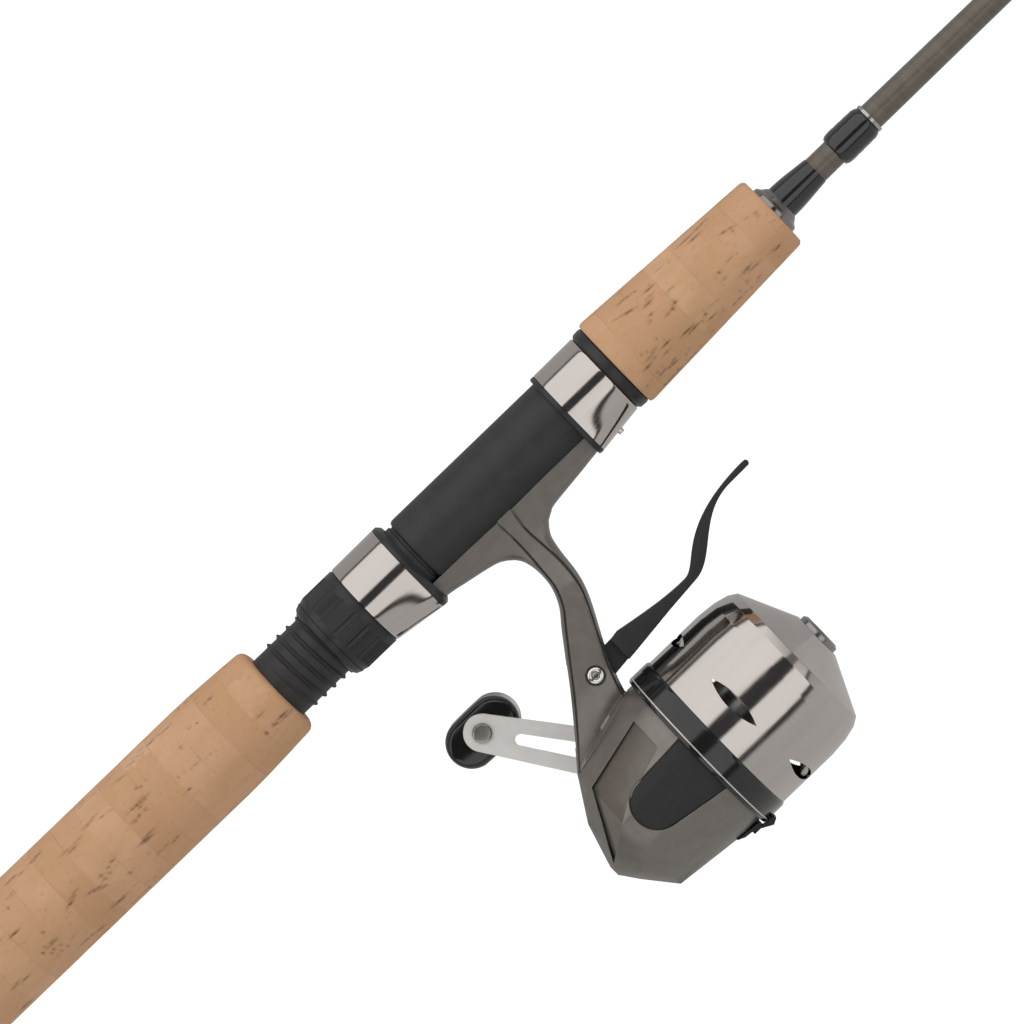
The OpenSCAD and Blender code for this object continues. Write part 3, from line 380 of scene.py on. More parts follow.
# ---------- blank, butt section ----------
# A tapered tube of wrapped glass cloth runs through the handle. It is sanded, then dipped in a clear olive
# brown finish that leaves the wrap's fine rings showing. A solid spigot joins it to the tip section.
blank_finish, blank_tree, blank_shader = blank_material("blank_lacquer")
blank_grain = grained(blank_tree, 0.25, (3, 0.5, 0.5))
blank_tone = mixed(blank_tree, spread(blank_tree, blank_grain.outputs["Broad"], 0.3, 0.7, 0, 1),
                   (0.115, 0.098, 0.075), (0.16, 0.138, 0.108))
blank_tree.links.new(blank_tone, blank_shader.inputs["Base Color"])
uneven(blank_tree, blank_shader, blank_grain, 0.34, 0.44)
bumped(blank_tree, blank_shader, blank_grain.outputs["Fine"], 0.012)
blank_shader.inputs["Coat Weight"].default_value = 0.35
blank_shader.inputs["Coat Roughness"].default_value = 0.12


def dress(material, *nodes):
    """Gives kept nodes their finish."""
    for node in nodes:
        cad[node].data.materials.clear()
        cad[node].data.materials.append(material)


dress(blank_finish, "blank_butt", "blank_tip")
dress(surface("spigot_carbon", (0.03, 0.03, 0.032), 0.4, size=0.2, depth=0.01), "ferrule_spigot")
dress(surface("arbor_tape", (0.45, 0.38, 0.26), 0.85, size=0.3, depth=0.05), "seat_arbors")

# ---------- reel seat ----------
# The seat is one moulded nylon tube: a coarse thread behind, a plain neck, and the matt barrel that the
# reel's foot lies on. Its mould leaves a faint sparked texture.
moulded = surface("moulded_nylon", (0.030, 0.030, 0.031), 0.50, size=0.28, depth=0.018, tint=0.2,
                  wear=(0.075, 0.073, 0.07), edge=0.15, gain=1.2)
seat_low, seat_high = (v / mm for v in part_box("seat_body"))
seat_x, seat_end = seat_low.x, seat_high.x
lip_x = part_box("fixed_hood")[0].x / mm
barrel_r, thread_r, thread_depth, pitch = 8.4, 7.95, 0.62, 2.6
thread_end = seat_x + 35.6
barrel_x = thread_end + 3.5


def helix_thread(x, r, angle):
    """A single-start thread: a narrow round-topped crest and a wide root."""
    step = ((x - seat_x - angle / turn * pitch) / pitch) % 1.0
    crest = np.clip(1 - np.abs(step - 0.5) / 0.24, 0, 1)
    crest = crest * crest * (3 - 2 * crest)
    share = np.clip((x - seat_x - 2.2) / 1.2, 0, 1) * np.clip((thread_end - x) / 0.8, 0, 1)
    return np.where((x > seat_x + 0.5) & (x < thread_end) & (r > 6), r + thread_depth * crest * share, r)


root_r = thread_r - thread_depth
seat_rows = [(seat_x + 0.02, butt_bore), (seat_x + 0.02, root_r)]
seat_rows += [(x, root_r) for x in np.arange(seat_x + 0.6, thread_end, 0.165)]
seat_rows += [(thread_end, root_r), (thread_end + 0.5, root_r + 0.1), (thread_end + 0.7, root_r + 0.45),
              (barrel_x - 0.9, root_r + 0.45), (barrel_x - 0.7, root_r + 0.1), (barrel_x - 0.25,
                                                                                root_r + 0.1),
              (barrel_x - 0.05, barrel_r - 0.35), (barrel_x + 0.1, barrel_r - 0.22), (barrel_x + 0.5,
                                                                                      barrel_r - 0.03),
              (barrel_x + 0.9, barrel_r), (lip_x - 0.9, barrel_r), (lip_x - 0.1, barrel_r), (lip_x,
                                                                                             barrel_r),
              (lip_x + 0.2, barrel_r - 0.02), (seat_end, barrel_r - 0.02), (seat_end, butt_bore)]
put(turned("reel_seat_body", seat_rows, moulded, steps=120, shape=helix_thread), "handle", "black_plastic",
    "seat_body")

# ---------- sliding hood and lock nut ----------
# The sliding hood is spun from sheet and plated in warm dark nickel, with a moulded liner whose lip frames
# the pocket for the reel's foot. The nut behind it is moulded nylon, fluted and ribbed for the fingers.
plated, plated_tree, plated_shader = blank_material("dark_nickel_plate")
plated_grain = grained(plated_tree, 0.6, (0.15, 1, 1))
plated_tree.links.new(mixed(plated_tree, spread(plated_tree, plated_grain.outputs["Broad"], 0.3, 0.7, 0, 1),
                            (0.60, 0.555, 0.53), (0.66, 0.62, 0.595)), plated_shader.inputs["Base Color"])
uneven(plated_tree, plated_shader, plated_grain, 0.07, 0.14, 0.35, 0.75)
bumped(plated_tree, plated_shader, plated_grain.outputs["Broad"], 0.006)
plated_shader.inputs["Metallic"].default_value = 1.0
hood_r, foot_r, foot_out_r, foot_half_w = 9.7, 8.45, 10.15, 5.6


def mouth_radius(angle, grow=0.0):
    """Outline of a hood's mouth: the seat's circle drawn down over the reel's foot."""
    drop = foot_out_r + 1.0 + grow
    circles = ((0, 0, hood_r + grow), (3.5, 4.5 - drop, 4.5), (-3.5, 4.5 - drop, 4.5))
    lean = np.linspace(0, turn, 721)
    reach = np.max([y * np.cos(lean) + z * np.sin(lean) + r for y, z, r in circles], 0)
    facing = np.cos(lean[None] - np.ravel(angle)[:, None])
    span = np.where(facing > 0.15, reach[None] / np.maximum(facing, 0.15), 99)
    return span.min(1).reshape(np.shape(angle))


def hood_shape(small_x, mouth_x, grow=0.0):
    """The way a hood swells from a plain circle to its mouth, as a radius for each point."""
    def shape(x, r, angle):
        share = np.clip((x - small_x) / (mouth_x - small_x), 0, 1)
        return r + share * (np.broadcast_to(mouth_radius(angle, grow), x.shape) - hood_r)
    return shape


hood_x0, hood_x1 = (v.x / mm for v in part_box("sliding_hood"))
shell = 0.62
hood_rows = [(hood_x0, hood_r - 0.1 - shell), (hood_x0, hood_r - 0.3), (hood_x0 + 0.08, hood_r - 0.16),
             (hood_x0 + 0.3, hood_r - 0.1)]
hood_rows += [(x, hood_r - 0.1 + 0.1 * u) for u, x in
              ((u, hood_x0 + 0.3 + u * (hood_x1 - hood_x0 - 0.55)) for u in np.linspace(0.1, 1, 10))]
hood_rows += [(hood_x1 - 0.08, hood_r - 0.06), (hood_x1, hood_r - 0.2), (hood_x1, hood_r - shell)]
hood_rows += [(hood_x1 - u * (hood_x1 - hood_x0), hood_r - shell) for u in np.linspace(0.2, 0.9, 4)]
put(turned("sliding_hood_shell", hood_rows, plated, steps=160, shape=hood_shape(hood_x0, hood_x1),
           sharp=40),
    "hood_slider", "plated", "sliding_hood")
satin_black = surface("satin_black_nylon", (0.024, 0.024, 0.025), 0.36, size=0.3, depth=0.012, tint=0.2,
                      wear=(0.06, 0.058, 0.055), edge=0.15, gain=1.0)
dress(surface("liner_nylon", (0.024, 0.024, 0.025), 0.36, size=0.3, depth=0.012, tint=0.2), "hood_liner")

nut_x0, nut_x1 = (v.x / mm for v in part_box("lock_nut"))
nut_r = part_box("lock_nut")[1].y / mm
flutes = 16


def fluted(x, r, angle):
    """Flutes along the nut, with fine ribs between them."""
    step = (angle * flutes / turn + 0.5) % 1.0 - 0.5
    along = np.clip((x - nut_x0 - 3.2) / 0.5, 0, 1) * np.clip((nut_x1 - 1.7 - x) / 0.3, 0, 1)
    flute = np.clip(1.25 - np.abs(step) / 0.105, 0, 1) * along * 0.34
    between = np.clip((np.abs(step) - 0.17) / 0.05, 0, 1)
    ribs = (0.5 + 0.5 * np.cos(angle * flutes * 8)) * between * along * 0.13
    return np.where(r > 8.2, r - flute - ribs, r)


nut_bore = 8.06
nut_rows = rounded([(nut_x0, nut_bore, 0), (nut_x0, nut_r - 1.75, 0.4), (nut_x0 + 0.7, nut_r - 0.75, 0.5),
                    (nut_x0 + 2.4, nut_r - 0.05, 1.6)])
nut_rows += [(x, nut_r - 0.01) for x in np.linspace(nut_x0 + 3.2, nut_x1 - 0.5, 40)]
nut_rows += [(nut_x1 - 0.35, nut_r - 0.02), (nut_x1 - 0.3, nut_r - 0.2), (nut_x1 - 0.12, nut_r - 0.2),
             (nut_x1, nut_r - 0.25), (nut_x1, nut_bore)]
put(turned("lock_nut_fluted", nut_rows, satin_black, steps=512, shape=fluted, sharp=50), "nut",
    "black_plastic", "lock_nut")

# ---------- fixed hood ----------
# The front hood is spun and plated like the sliding one, with its mouth to the rear. It is pinned to the
# seat, and a black nylon ring covers the joint between it and the cork.
fixed_x0 = lip_x
fixed_x1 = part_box("hood_ring")[0].x / mm
fixed_rows = [(fixed_x1, hood_r - 0.1 - shell), (fixed_x1, hood_r - 0.22), (fixed_x1 - 0.2, hood_r - 0.1)]
fixed_rows += [(x, hood_r - 0.1 - 0.1 * u) for u, x in
               ((u, fixed_x1 - 0.2 - u * (fixed_x1 - fixed_x0 - 0.5)) for u in np.linspace(0.1, 1, 10))]
fixed_rows += [(fixed_x0 + 0.08, hood_r - 0.26), (fixed_x0, hood_r - 0.4), (fixed_x0, hood_r - 0.2 - shell)]
fixed_rows += [(fixed_x0 + u * (fixed_x1 - fixed_x0), hood_r - 0.15 - shell) for u in np.linspace(0.2, 0.9,
                                                                                                  4)]
put(turned("fixed_hood_shell", fixed_rows, plated, steps=160, shape=hood_shape(fixed_x1, fixed_x0),
           sharp=40),
    "handle", "plated", "fixed_hood")
pin_head = rounded([(-0.25, 0, 0), (-0.25, 0.62, 0.2), (0.6, 0.7, 0), (0.6, 0, 0)])
put(turned("fixed_hood_pin", pin_head, plated, steps=32, at=(fixed_x0 + 5, 0, -foot_out_r - 0.55),
           axis="z"),
    "handle", "plated")


def lip_shape(mouth_x):
    """A lip that follows a hood's mouth outside, and inside opens only for the reel's foot."""
    def shape(x, r, angle):
        out = np.broadcast_to(mouth_radius(angle), x.shape)
        pocket = (np.abs(np.cos(angle)) * 10.5 < foot_half_w + 0.3) & (np.sin(angle) < 0)
        hole = np.where(np.broadcast_to(pocket, x.shape), 10.45, barrel_r + 0.03)
        return np.where(r < 9, hole, out + r - hood_r)
    return shape


lip_rows = [(lip_x - 1.1, 8.45), (lip_x - 1.1, hood_r - 0.45), (lip_x - 1.0, hood_r - 0.3),
            (lip_x - 0.75, hood_r - 0.2), (lip_x - 0.1, hood_r - 0.2), (lip_x - 0.01, hood_r - 0.3),
            (lip_x - 0.01, 8.45)]
put(turned("fixed_hood_lip", lip_rows, satin_black, steps=200, shape=lip_shape(lip_x), sharp=40), "handle",
    "black_plastic")
ring_x0, ring_x1 = (v.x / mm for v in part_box("hood_ring"))
ring_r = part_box("hood_ring")[1].y / mm
put(turned("hood_cover_ring", rounded([(ring_x0 + 0.01, barrel_r + 0.03, 0),
                                       (ring_x0 + 0.01, ring_r - 0.8, 0.1),
                                       (ring_x0 + 0.7, ring_r - 0.1, 0.5), (ring_x1 - 0.5, ring_r, 0.3),
                                       (ring_x1, ring_r - 0.3, 0.2), (ring_x1, barrel_r + 0.03,
                                                                      0)]), satin_black),
    "handle", "black_plastic", "hood_ring")

# ---------- front grip ----------
# Seven more cork rings, glued in front of the seat and turned to a taper that ends in a small round.
fore_x0, fore_x1 = (v.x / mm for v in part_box("fore_grip"))
fore_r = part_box("fore_grip")[1].y / mm
fore_tip = fore_r - 2.0
fore_outline = [(fore_x0, fore_r - 0.45), (fore_x0 + 0.35, fore_r - 0.15), (fore_x0 + 1, fore_r - 0.03),
                (fore_x1 - 0.9, fore_tip), (fore_x1 - 0.4, fore_tip - 0.18), (fore_x1, fore_tip - 0.6)]
put(cork_grip("front_cork_grip", fore_outline, fore_bore, 23), "handle", "cork", "fore_grip")

# ---------- winding check, wraps and trim ----------
# A turned check closes the cork. Thread is wound on the blank behind and over the joint, then flooded with
# black lacquer that rounds over it. A bright trim ring ends the ferrule wrap.
check_x0, check_x1 = (v.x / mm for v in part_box("winding_check"))
smoke = surface("smoked_metal", (0.30, 0.295, 0.29), 0.16, metallic=1.0, size=0.4, depth=0.004, tint=0.05,
                rough_span=0.06)
put(turned("winding_check_ring", rounded([(check_x0 + 0.01, 3.2, 0), (check_x0 + 0.01, 5.7, 0.1),
                                          (check_x0 + 0.9, 5.55, 0.3), (check_x0 + 1.5, 4.7, 0.4),
                                          (check_x1 - 0.3, 4.1, 0.2), (check_x1, 3.8, 0), (check_x1, 3.2,
                                                                                           0)]),
           smoke, steps=96), "handle", "smoke_metal", "winding_check")
lacquer, lacquer_tree, lacquer_shader = blank_material("lacquered_thread")
threads = lacquer_tree.nodes.new("ShaderNodeTexWave")
threads.bands_direction = "X"
threads.inputs["Scale"].default_value = 620
threads.inputs["Distortion"].default_value = 0.6
threads.inputs["Detail"].default_value = 1
thread_place = lacquer_tree.nodes.new("ShaderNodeTexCoord")
lacquer_tree.links.new(thread_place.outputs["Object"], threads.inputs["Vector"])
lacquer_tree.links.new(mixed(lacquer_tree, threads.outputs["Fac"], (0.012, 0.012, 0.013),
                             (0.019, 0.019, 0.021)),
                       lacquer_shader.inputs["Base Color"])
lacquer_grain = grained(lacquer_tree, 1.2, (0.6, 1, 1))
uneven(lacquer_tree, lacquer_shader, lacquer_grain, 0.08, 0.16)
bumped(lacquer_tree, lacquer_shader, lacquer_grain.outputs["Fine"], 0.006)
lacquer_shader.inputs["Coat Weight"].default_value = 0.7


def blank_r(x):
    """Radius of the tip section's blank."""
    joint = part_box("ferrule_wrap")[0].x / mm
    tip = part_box("tip_top")[1].x / mm
    return 2.95 - 2.0 * (x - joint) / (tip - joint)


def wrapping(name, x0, x1, base, rise, lean=0.0):
    """A lacquered winding: full in its middle, drawn to a thin edge at its ends."""
    rows = []
    for u in np.concatenate([[0, 0.004, 0.012], np.linspace(0.03, 0.97, 22), [0.988, 0.996, 1]]):
        x = x0 + u * (x1 - x0)
        full = min(1, math.sqrt(max(0, 1 - (max(0, abs(u - 0.5) - 0.30) / 0.20) ** 2)))
        ripple = 0.018 * math.sin(u * 31) + 0.012 * math.sin(u * 67 + 1)
        rows.append((x, base(x) + 0.04 + (rise * (1 - lean * u) + ripple) * full))
    return turned(name, [(x1, base(x1) + 0.03), (x0, base(x0) + 0.03)] + rows, lacquer, steps=72)


wrap_x0, wrap_x1 = (v.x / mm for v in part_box("grip_wrap"))
grip_wrap_rows = [(wrap_x1, 2.97), (wrap_x0 + 0.01, 3.2), (wrap_x0 + 0.01, 3.74), (wrap_x0 + 0.6, 3.78),
                  (wrap_x0 + 2.2, 3.72), (wrap_x0 + 4.4, 3.55), (wrap_x0 + 6.2, 3.36), (wrap_x0 + 7.4,
                                                                                        3.24),
                  (wrap_x0 + 8.4, 3.13), (wrap_x1 - 0.2, 3.08), (wrap_x1, 3.03)]
put(turned("grip_wrap_lacquer", grip_wrap_rows, lacquer, steps=96), "handle", "gloss_black", "grip_wrap")
joint_x0, joint_x1 = (v.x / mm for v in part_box("ferrule_wrap"))
put(wrapping("ferrule_wrap_lacquer", joint_x0, joint_x1 + 0.02, blank_r, 0.84, 0.12), "tip_section",
    "gloss_black", "ferrule_wrap")
steel = surface("turned_steel", (0.56, 0.55, 0.53), 0.24, metallic=1.0, size=0.25, depth=0.006, tint=0.06)
trim_x0, trim_x1 = (v.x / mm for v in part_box("trim_ring"))
put(turned("trim_ring_bright", rounded([(trim_x0 + 0.02, 2.95, 0), (trim_x0 + 0.02, 3.38, 0.1),
                                        (trim_x1, 3.3, 0.15), (trim_x1, 2.95, 0)]), steel, steps=72),
    "tip_section", "steel", "trim_ring")

# ---------- guides and tip top ----------
# Each guide is bent from stainless wire, blackened, and brazed to a ring that holds a polished ceramic
# insert. Its feet are bound to the blank with thread and lacquer. The tip top's tube is glued on.
def wire_tree():
    """Geometry nodes that turn each chain of edges into a round wire."""
    tree = bpy.data.node_groups.new("round_wire", "GeometryNodeTree")
    for label, kind in (("Geometry", "NodeSocketGeometry"), ("Radius", "NodeSocketFloat"),
                        ("Sides", "NodeSocketInt"), ("Material", "NodeSocketMaterial")):
        tree.interface.new_socket(label, in_out="INPUT", socket_type=kind)
    tree.interface.new_socket("Geometry", in_out="OUTPUT", socket_type="NodeSocketGeometry")
    start, end = tree.nodes.new("NodeGroupInput"), tree.nodes.new("NodeGroupOutput")
    path, ring = tree.nodes.new("GeometryNodeMeshToCurve"), tree.nodes.new("GeometryNodeCurvePrimitiveCircle")
    skin, real = tree.nodes.new("GeometryNodeCurveToMesh"), tree.nodes.new("GeometryNodeRealizeInstances")
    paint = tree.nodes.new("GeometryNodeSetMaterial")
    skin.inputs["Fill Caps"].default_value = True
    for a, b in ((start.outputs["Geometry"], path.inputs["Mesh"]),
                 (path.outputs["Curve"], skin.inputs["Curve"]),
                 (start.outputs["Radius"], ring.inputs["Radius"]),
                 (start.outputs["Sides"], ring.inputs["Resolution"]),
                 (ring.outputs["Curve"], skin.inputs["Profile Curve"]), (skin.outputs["Mesh"],
                                                                         real.inputs[0]),
                 (real.outputs[0], paint.inputs["Geometry"]), (start.outputs["Material"],
                                                               paint.inputs["Material"]),
                 (paint.outputs["Geometry"], end.inputs["Geometry"])):
        tree.links.new(a, b)
    return tree


round_wire = wire_tree()


def plain(name, source, sharp=32, material=None):
    """The evaluated object as a plain mesh piece; the source is removed."""
    bpy.context.view_layer.update()
    mesh = bpy.data.meshes.new_from_object(source.evaluated_get(bpy.context.evaluated_depsgraph_get()))
    keep = material or (mesh.materials[0] if mesh.materials else None)
    bpy.data.objects.remove(source)
    mesh.name = name
    return finish_mesh(name, mesh, keep, sharp)


def wires(name, chains, radius, material, sides=12):
    """Round wires along chains of points in millimetres."""
    points, edges = [], []
    for chain in chains:
        edges += [(len(points) + i, len(points) + i + 1) for i in range(len(chain) - 1)]
        points += [tuple(np.asarray(p) * mm) for p in chain]
    mesh = bpy.data.meshes.new(name + "_path")
    mesh.from_pydata(points, edges, [])
    source = bpy.data.objects.new(name + "_path", mesh)
    bpy.context.scene.collection.objects.link(source)
    modifier = source.modifiers.new("nodes", "NODES")
    modifier.node_group = round_wire
    values = {"Radius": radius * mm, "Sides": sides, "Material": material}
    for item in round_wire.interface.items_tree:
        if item.in_out == "INPUT" and item.name in values:
            modifier[item.identifier] = values[item.name]
    return plain(name, source, 40, material)


def joined(name, pieces, sharp=35):
    """Several pieces of one material as one piece."""
    work = bmesh.new()
    for piece in pieces:
        work.from_mesh(piece.data)
    bmesh.ops.recalc_face_normals(work, faces=work.faces)
    mesh = bpy.data.meshes.new(name)
    work.to_mesh(mesh)
    work.free()
    material = pieces[0].data.materials[0]
    for piece in pieces:
        bpy.data.objects.remove(piece)
    return finish_mesh(name, mesh, material, sharp)


def through(points, steps=6):
    """A smooth curve through points, by Catmull and Rom's rule."""
    p = np.asarray(points, float)
    p = np.vstack([2 * p[0] - p[1], p, 2 * p[-1] - p[-2]])
    out = []
    for i in range(1, len(p) - 2):
        for u in np.arange(steps) / steps:
            out.append(0.5 * (2 * p[i] + (p[i + 1] - p[i - 1]) * u
                              + (2 * p[i - 1] - 5 * p[i] + 4 * p[i + 1] - p[i + 2]) * u * u
                              + (3 * p[i] - p[i - 1] - 3 * p[i + 1] + p[i + 2]) * u ** 3))
    return np.array(out + [p[-2]])


black_metal = surface("blackened_steel", (0.028, 0.028, 0.03), 0.30, metallic=0.7, size=0.2, depth=0.008,
                      tint=0.2, wear=(0.16, 0.155, 0.15), edge=0.1)
ceramic = surface("guide_ceramic", (0.022, 0.026, 0.032), 0.07, size=0.3, depth=0.003, tint=0.1, coat=0.8,
                  coat_roughness=0.04)
guide_wrap_parts = []
wire_r = 0.4
for number in range(1, 5):
    low, high = (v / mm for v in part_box("guide_ring_%d" % number))
    frame_low, frame_high = (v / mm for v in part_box("guide_frame_%d" % number))
    gx, gz = (low.x + high.x) / 2, (low.z + high.z) / 2
    bore = (high.y - low.y) / 2 - 0.9
    hold = bore + 0.9
    put(turned("guide_insert_%d" % number,
               rounded([(-0.85, bore + 0.88, 0.1), (-0.85, bore + 0.3, 0.3), (0, bore - 0.02, 0.8),
                        (0.85, bore + 0.3, 0.3), (0.85, bore + 0.88, 0.1)]), ceramic, steps=72, at=(gx, 0,
                                                                                                    gz)),
        "tip_section", "ceramic_ring", "guide_ring_%d" % number)
    parts = [turned("guide_holder", rounded([(-0.65, hold + 0.01, 0), (-0.65, hold + 0.42, 0.25),
                                             (0.65, hold + 0.42, 0.25), (0.65, hold + 0.01, 0)]),
                    black_metal, steps=72, at=(gx, 0, gz))]
    reach = -gz * 0.75
    chains = []
    for front in (1, -1):
        foot_x = gx + front * reach
        foot_tip = frame_high.x - 0.3 if front > 0 else frame_low.x + 0.3
        foot_z = -(blank_r(min(foot_x, foot_tip)) + wire_r + 0.05)
        for side in ((0,) if front > 0 else (-1, 1)):
            end = (gx + 0.3 * front, side * (hold + 0.1), gz + (hold + 0.1 if side == 0 else 0.0))
            middle = (gx + front * reach * 0.5, side * (hold * 0.62),
                      (foot_z + end[2]) / 2 - 0.2 * reach * abs(side))
            chains.append(through([(foot_tip, side * 0.42, foot_z + 0.12),
                                   (foot_x + front * 1.6, side * 0.42, foot_z),
                                   (foot_x - front * 0.1, side * 0.5, foot_z - 0.15), middle, end], 7))
        wrap0, wrap1 = sorted((foot_x + front * 1.2, foot_tip + front * 1.9))
        rows = []
        for x in np.linspace(wrap0, wrap1, 30):
            full = min(1, math.sqrt(max(0.0, 1 - (2 * (x - wrap0) / (wrap1 - wrap0) - 1) ** 2)) * 1.6)
            rows.append((x, blank_r(x) + 0.05 + 0.24 * full))
        rows = [(wrap1, blank_r(wrap1) + 0.03), (wrap0, blank_r(wrap0) + 0.03)] + rows

        def over_foot(x, r, angle, foot_tip=foot_tip, front=front, foot_x=foot_x):
            """The wrap bulges over the wire foot and sinks back past its end."""
            under = np.clip(-np.sin(angle), 0, 1) ** 4
            share = np.clip((foot_tip - x) * front / 1.2 + 0.6, 0, 1)
            outside = r > blank_r(x) + 0.045
            return np.where(outside, r + under * share * (2 * wire_r - 0.05), r)
        guide_wrap_parts.append(turned("guide_wrap", rows, lacquer, steps=48, shape=over_foot))
    parts.append(wires("guide_legs", chains, wire_r, black_metal))
    put(joined("guide_wire_%d" % number, parts), "tip_section", "black_metal", "guide_frame_%d" % number)
put(joined("guide_wraps_lacquer", guide_wrap_parts), "tip_section", "gloss_black", "guide_wraps")
low, high = (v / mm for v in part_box("tip_ring"))
tip_bore = (high.y - low.y) / 2 - 0.8
put(turned("tip_ring_insert", rounded([(-0.78, tip_bore + 0.79, 0.1), (-0.78, tip_bore + 0.3, 0.25),
                                       (0, tip_bore, 0.6), (0.78, tip_bore + 0.3, 0.25),
                                       (0.78, tip_bore + 0.79, 0.1)]), ceramic, steps=64,
           at=((low.x + high.x) / 2, 0, (low.z + high.z) / 2)), "tip_section", "ceramic_ring", "tip_ring")
dress(black_metal, "tip_top")

# ---------- reel body hull ----------
# The die-cast rear shell runs from a round front at the band to a blunt faceted keel. The frame and the
# shell are cast as two halves of this one form, split along a slanting seam under the stem.
band_low, band_high = (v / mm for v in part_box("band_ring"))
reel_z = (band_low.z + band_high.z) / 2
reel_x = band_high.x + 8.02
body_r = band_high.y - 0.3
band_x = band_low.x - 0.02 - reel_x
seam_rear, seam_front = (-34.2, 12.85), (-15.3, 18.3)


def shell_hull(inset=0.0):
    """The convex body form as a mesh in millimetres about the reel's centre, drawn in by an inset."""
    def section(x, outline):
        return [(x, s * y, z) for y, z in outline for s in (1, -1)]
    front = body_r - 0.9
    points = [(band_x + 0.02, front * math.cos(a), front * math.sin(a)) for a in np.arange(96) * turn / 96]
    points += [(band_x - 4, (front + 0.05) * math.cos(a), (front + 0.05) * math.sin(a))
               for a in np.arange(96) * turn / 96]
    points += section(-34.0, [(2.3, 12.95), (6.6, 9.3), (12.4, 0.2), (12.1, -6.4), (9.4, -12.6),
                              (4.2, -16.7)])
    points += section(-39.2, [(1.8, 4.6), (4.2, -0.3), (7.4, -3.6), (6.6, -8.0), (3.0, -10.5)])
    points += section(-41.95, [(1.4, -4.6), (1.9, -5.6), (1.4, -6.9)])
    points = np.array(points)
    centre = np.array([band_x - 8, 0, 0])
    if inset:
        away = points - centre
        points = centre + away * (1 - inset / np.linalg.norm(away * [0.6, 1, 1], axis=1, keepdims=True))
        points[:, 0] = np.where(points[:, 0] > band_x - 1, band_x + 3, points[:, 0])
    work = bmesh.new()
    verts = [work.verts.new(p) for p in points]
    hull = bmesh.ops.convex_hull(work, input=verts)
    spare = [v for v in hull["geom_interior"] + hull["geom_unused"] if isinstance(v, bmesh.types.BMVert)]
    bmesh.ops.delete(work, geom=list(set(spare)), context="VERTS")
    bmesh.ops.dissolve_limit(work, angle_limit=math.radians(0.6), verts=work.verts, edges=work.edges)
    return work


hull_work = shell_hull()
bmesh.ops.recalc_face_normals(hull_work, faces=hull_work.faces)
hull_normals = np.array([f.normal for f in hull_work.faces])
hull_distances = np.array([f.normal.dot(f.calc_center_median()) for f in hull_work.faces])


def half_width(x, z):
    """Half the body's width at a place in its side view."""
    side = hull_normals[:, 1] > 0.02
    n, d = hull_normals[side], hull_distances[side]
    return max(0.0, float(np.min((d - n[:, 0] * x - n[:, 2] * z) / n[:, 1])))


def solid(name, work, material=None, sharp=25):
    """A bmesh in millimetres about the reel's centre as an object in the rod's frame."""
    mesh = bpy.data.meshes.new(name)
    bmesh.ops.recalc_face_normals(work, faces=work.faces)
    work.to_mesh(mesh)
    mesh.transform(Matrix.Translation(Vector((reel_x, 0, reel_z))))
    mesh.transform(Matrix.Scale(mm, 4))
    return finish_mesh(name, mesh, material, sharp)


def combined(piece, other, operation="DIFFERENCE", sharp=25):
    """One closed piece cut by, joined with or kept within another, which is used up."""
    cut = piece.modifiers.new("cut", "BOOLEAN")
    cut.operation, cut.solver, cut.object = operation, "EXACT", other
    name, material = piece.name, (piece.data.materials[0] if piece.data.materials else None)
    result = plain(name + "_cut", piece, sharp, material)
    result.name = name
    bpy.data.objects.remove(other)
    return result


def prism(outline, y0, y1):
    """A bmesh from an outline of x and z, given a depth in y."""
    work = bmesh.new()
    low = [work.verts.new((x, y0, z)) for x, z in outline]
    high = [work.verts.new((x, y1, z)) for x, z in outline]
    work.faces.new(low)
    work.faces.new(high[::-1])
    for i in range(len(outline)):
        k = (i + 1) % len(outline)
        work.faces.new((low[i], low[k], high[k], high[i]))
    return work


def circle(centre, radius, steps):
    """Points round a circle in the side view."""
    return [(centre[0] + radius * math.cos(a), centre[1] + radius * math.sin(a))
            for a in np.arange(steps) * turn / steps]


def softened(piece, width, segments=2, angle=28, sharp=32):
    """The piece with its edges broken by a small bevel."""
    break_edges = piece.modifiers.new("edges", "BEVEL")
    break_edges.width, break_edges.segments = width * mm, segments
    break_edges.limit_method, break_edges.angle_limit = "ANGLE", math.radians(angle)
    break_edges.use_clamp_overlap = True
    name = piece.name
    result = plain(name + "_soft", piece, sharp, piece.data.materials[0] if piece.data.materials else None)
    result.name = name
    return result


# ---------- reel frame: foot and stem ----------
# The foot, stem and upper half of the body are one zinc casting in satin gunmetal paint. A raised rib runs
# down each side of the stem, and the outer edges are chamfered. The foot's ends lie in the seat's hoods.
gunmetal, gun_tree, gun_shader = blank_material("gunmetal_paint")
gun_grain = grained(gun_tree, 0.22)
gun_edge = gun_tree.nodes.new("ShaderNodeGroup")
gun_edge.node_tree = edge_group
gun_edge.inputs["Radius"].default_value = 0.22 * mm
gun_edge.inputs["Gain"].default_value = 1.6
gun_tone = mixed(gun_tree, spread(gun_tree, gun_grain.outputs["Broad"], 0.3, 0.7, 0, 1),
                 (0.235, 0.215, 0.195), (0.275, 0.252, 0.23))
gun_fleck = mixed(gun_tree, spread(gun_tree, gun_grain.outputs["Fine"], 0.62, 0.74, 0, 0.5), gun_tone,
                  (0.42, 0.40, 0.37))
gun_worn = mixed(gun_tree, math_node(gun_tree, "MULTIPLY", gun_edge.outputs["Mask"], 0.6), gun_fleck,
                 (0.47, 0.45, 0.42))
# Painted shade: the "shade" attribute darkens the paint towards near black. It stands in for the shade on the
# stem's chamfered edges and rib grooves, and on the floors of the rear shell's sunk panels.
painted_shade_attr = gun_tree.nodes.new("ShaderNodeAttribute")
painted_shade_attr.attribute_name = "shade"
gun_painted_shade = mixed(gun_tree, math_node(gun_tree, "MULTIPLY", painted_shade_attr.outputs["Fac"], 0.85), gun_worn,
                   (0.085, 0.078, 0.068))
gun_tree.links.new(gun_painted_shade, gun_shader.inputs["Base Color"])
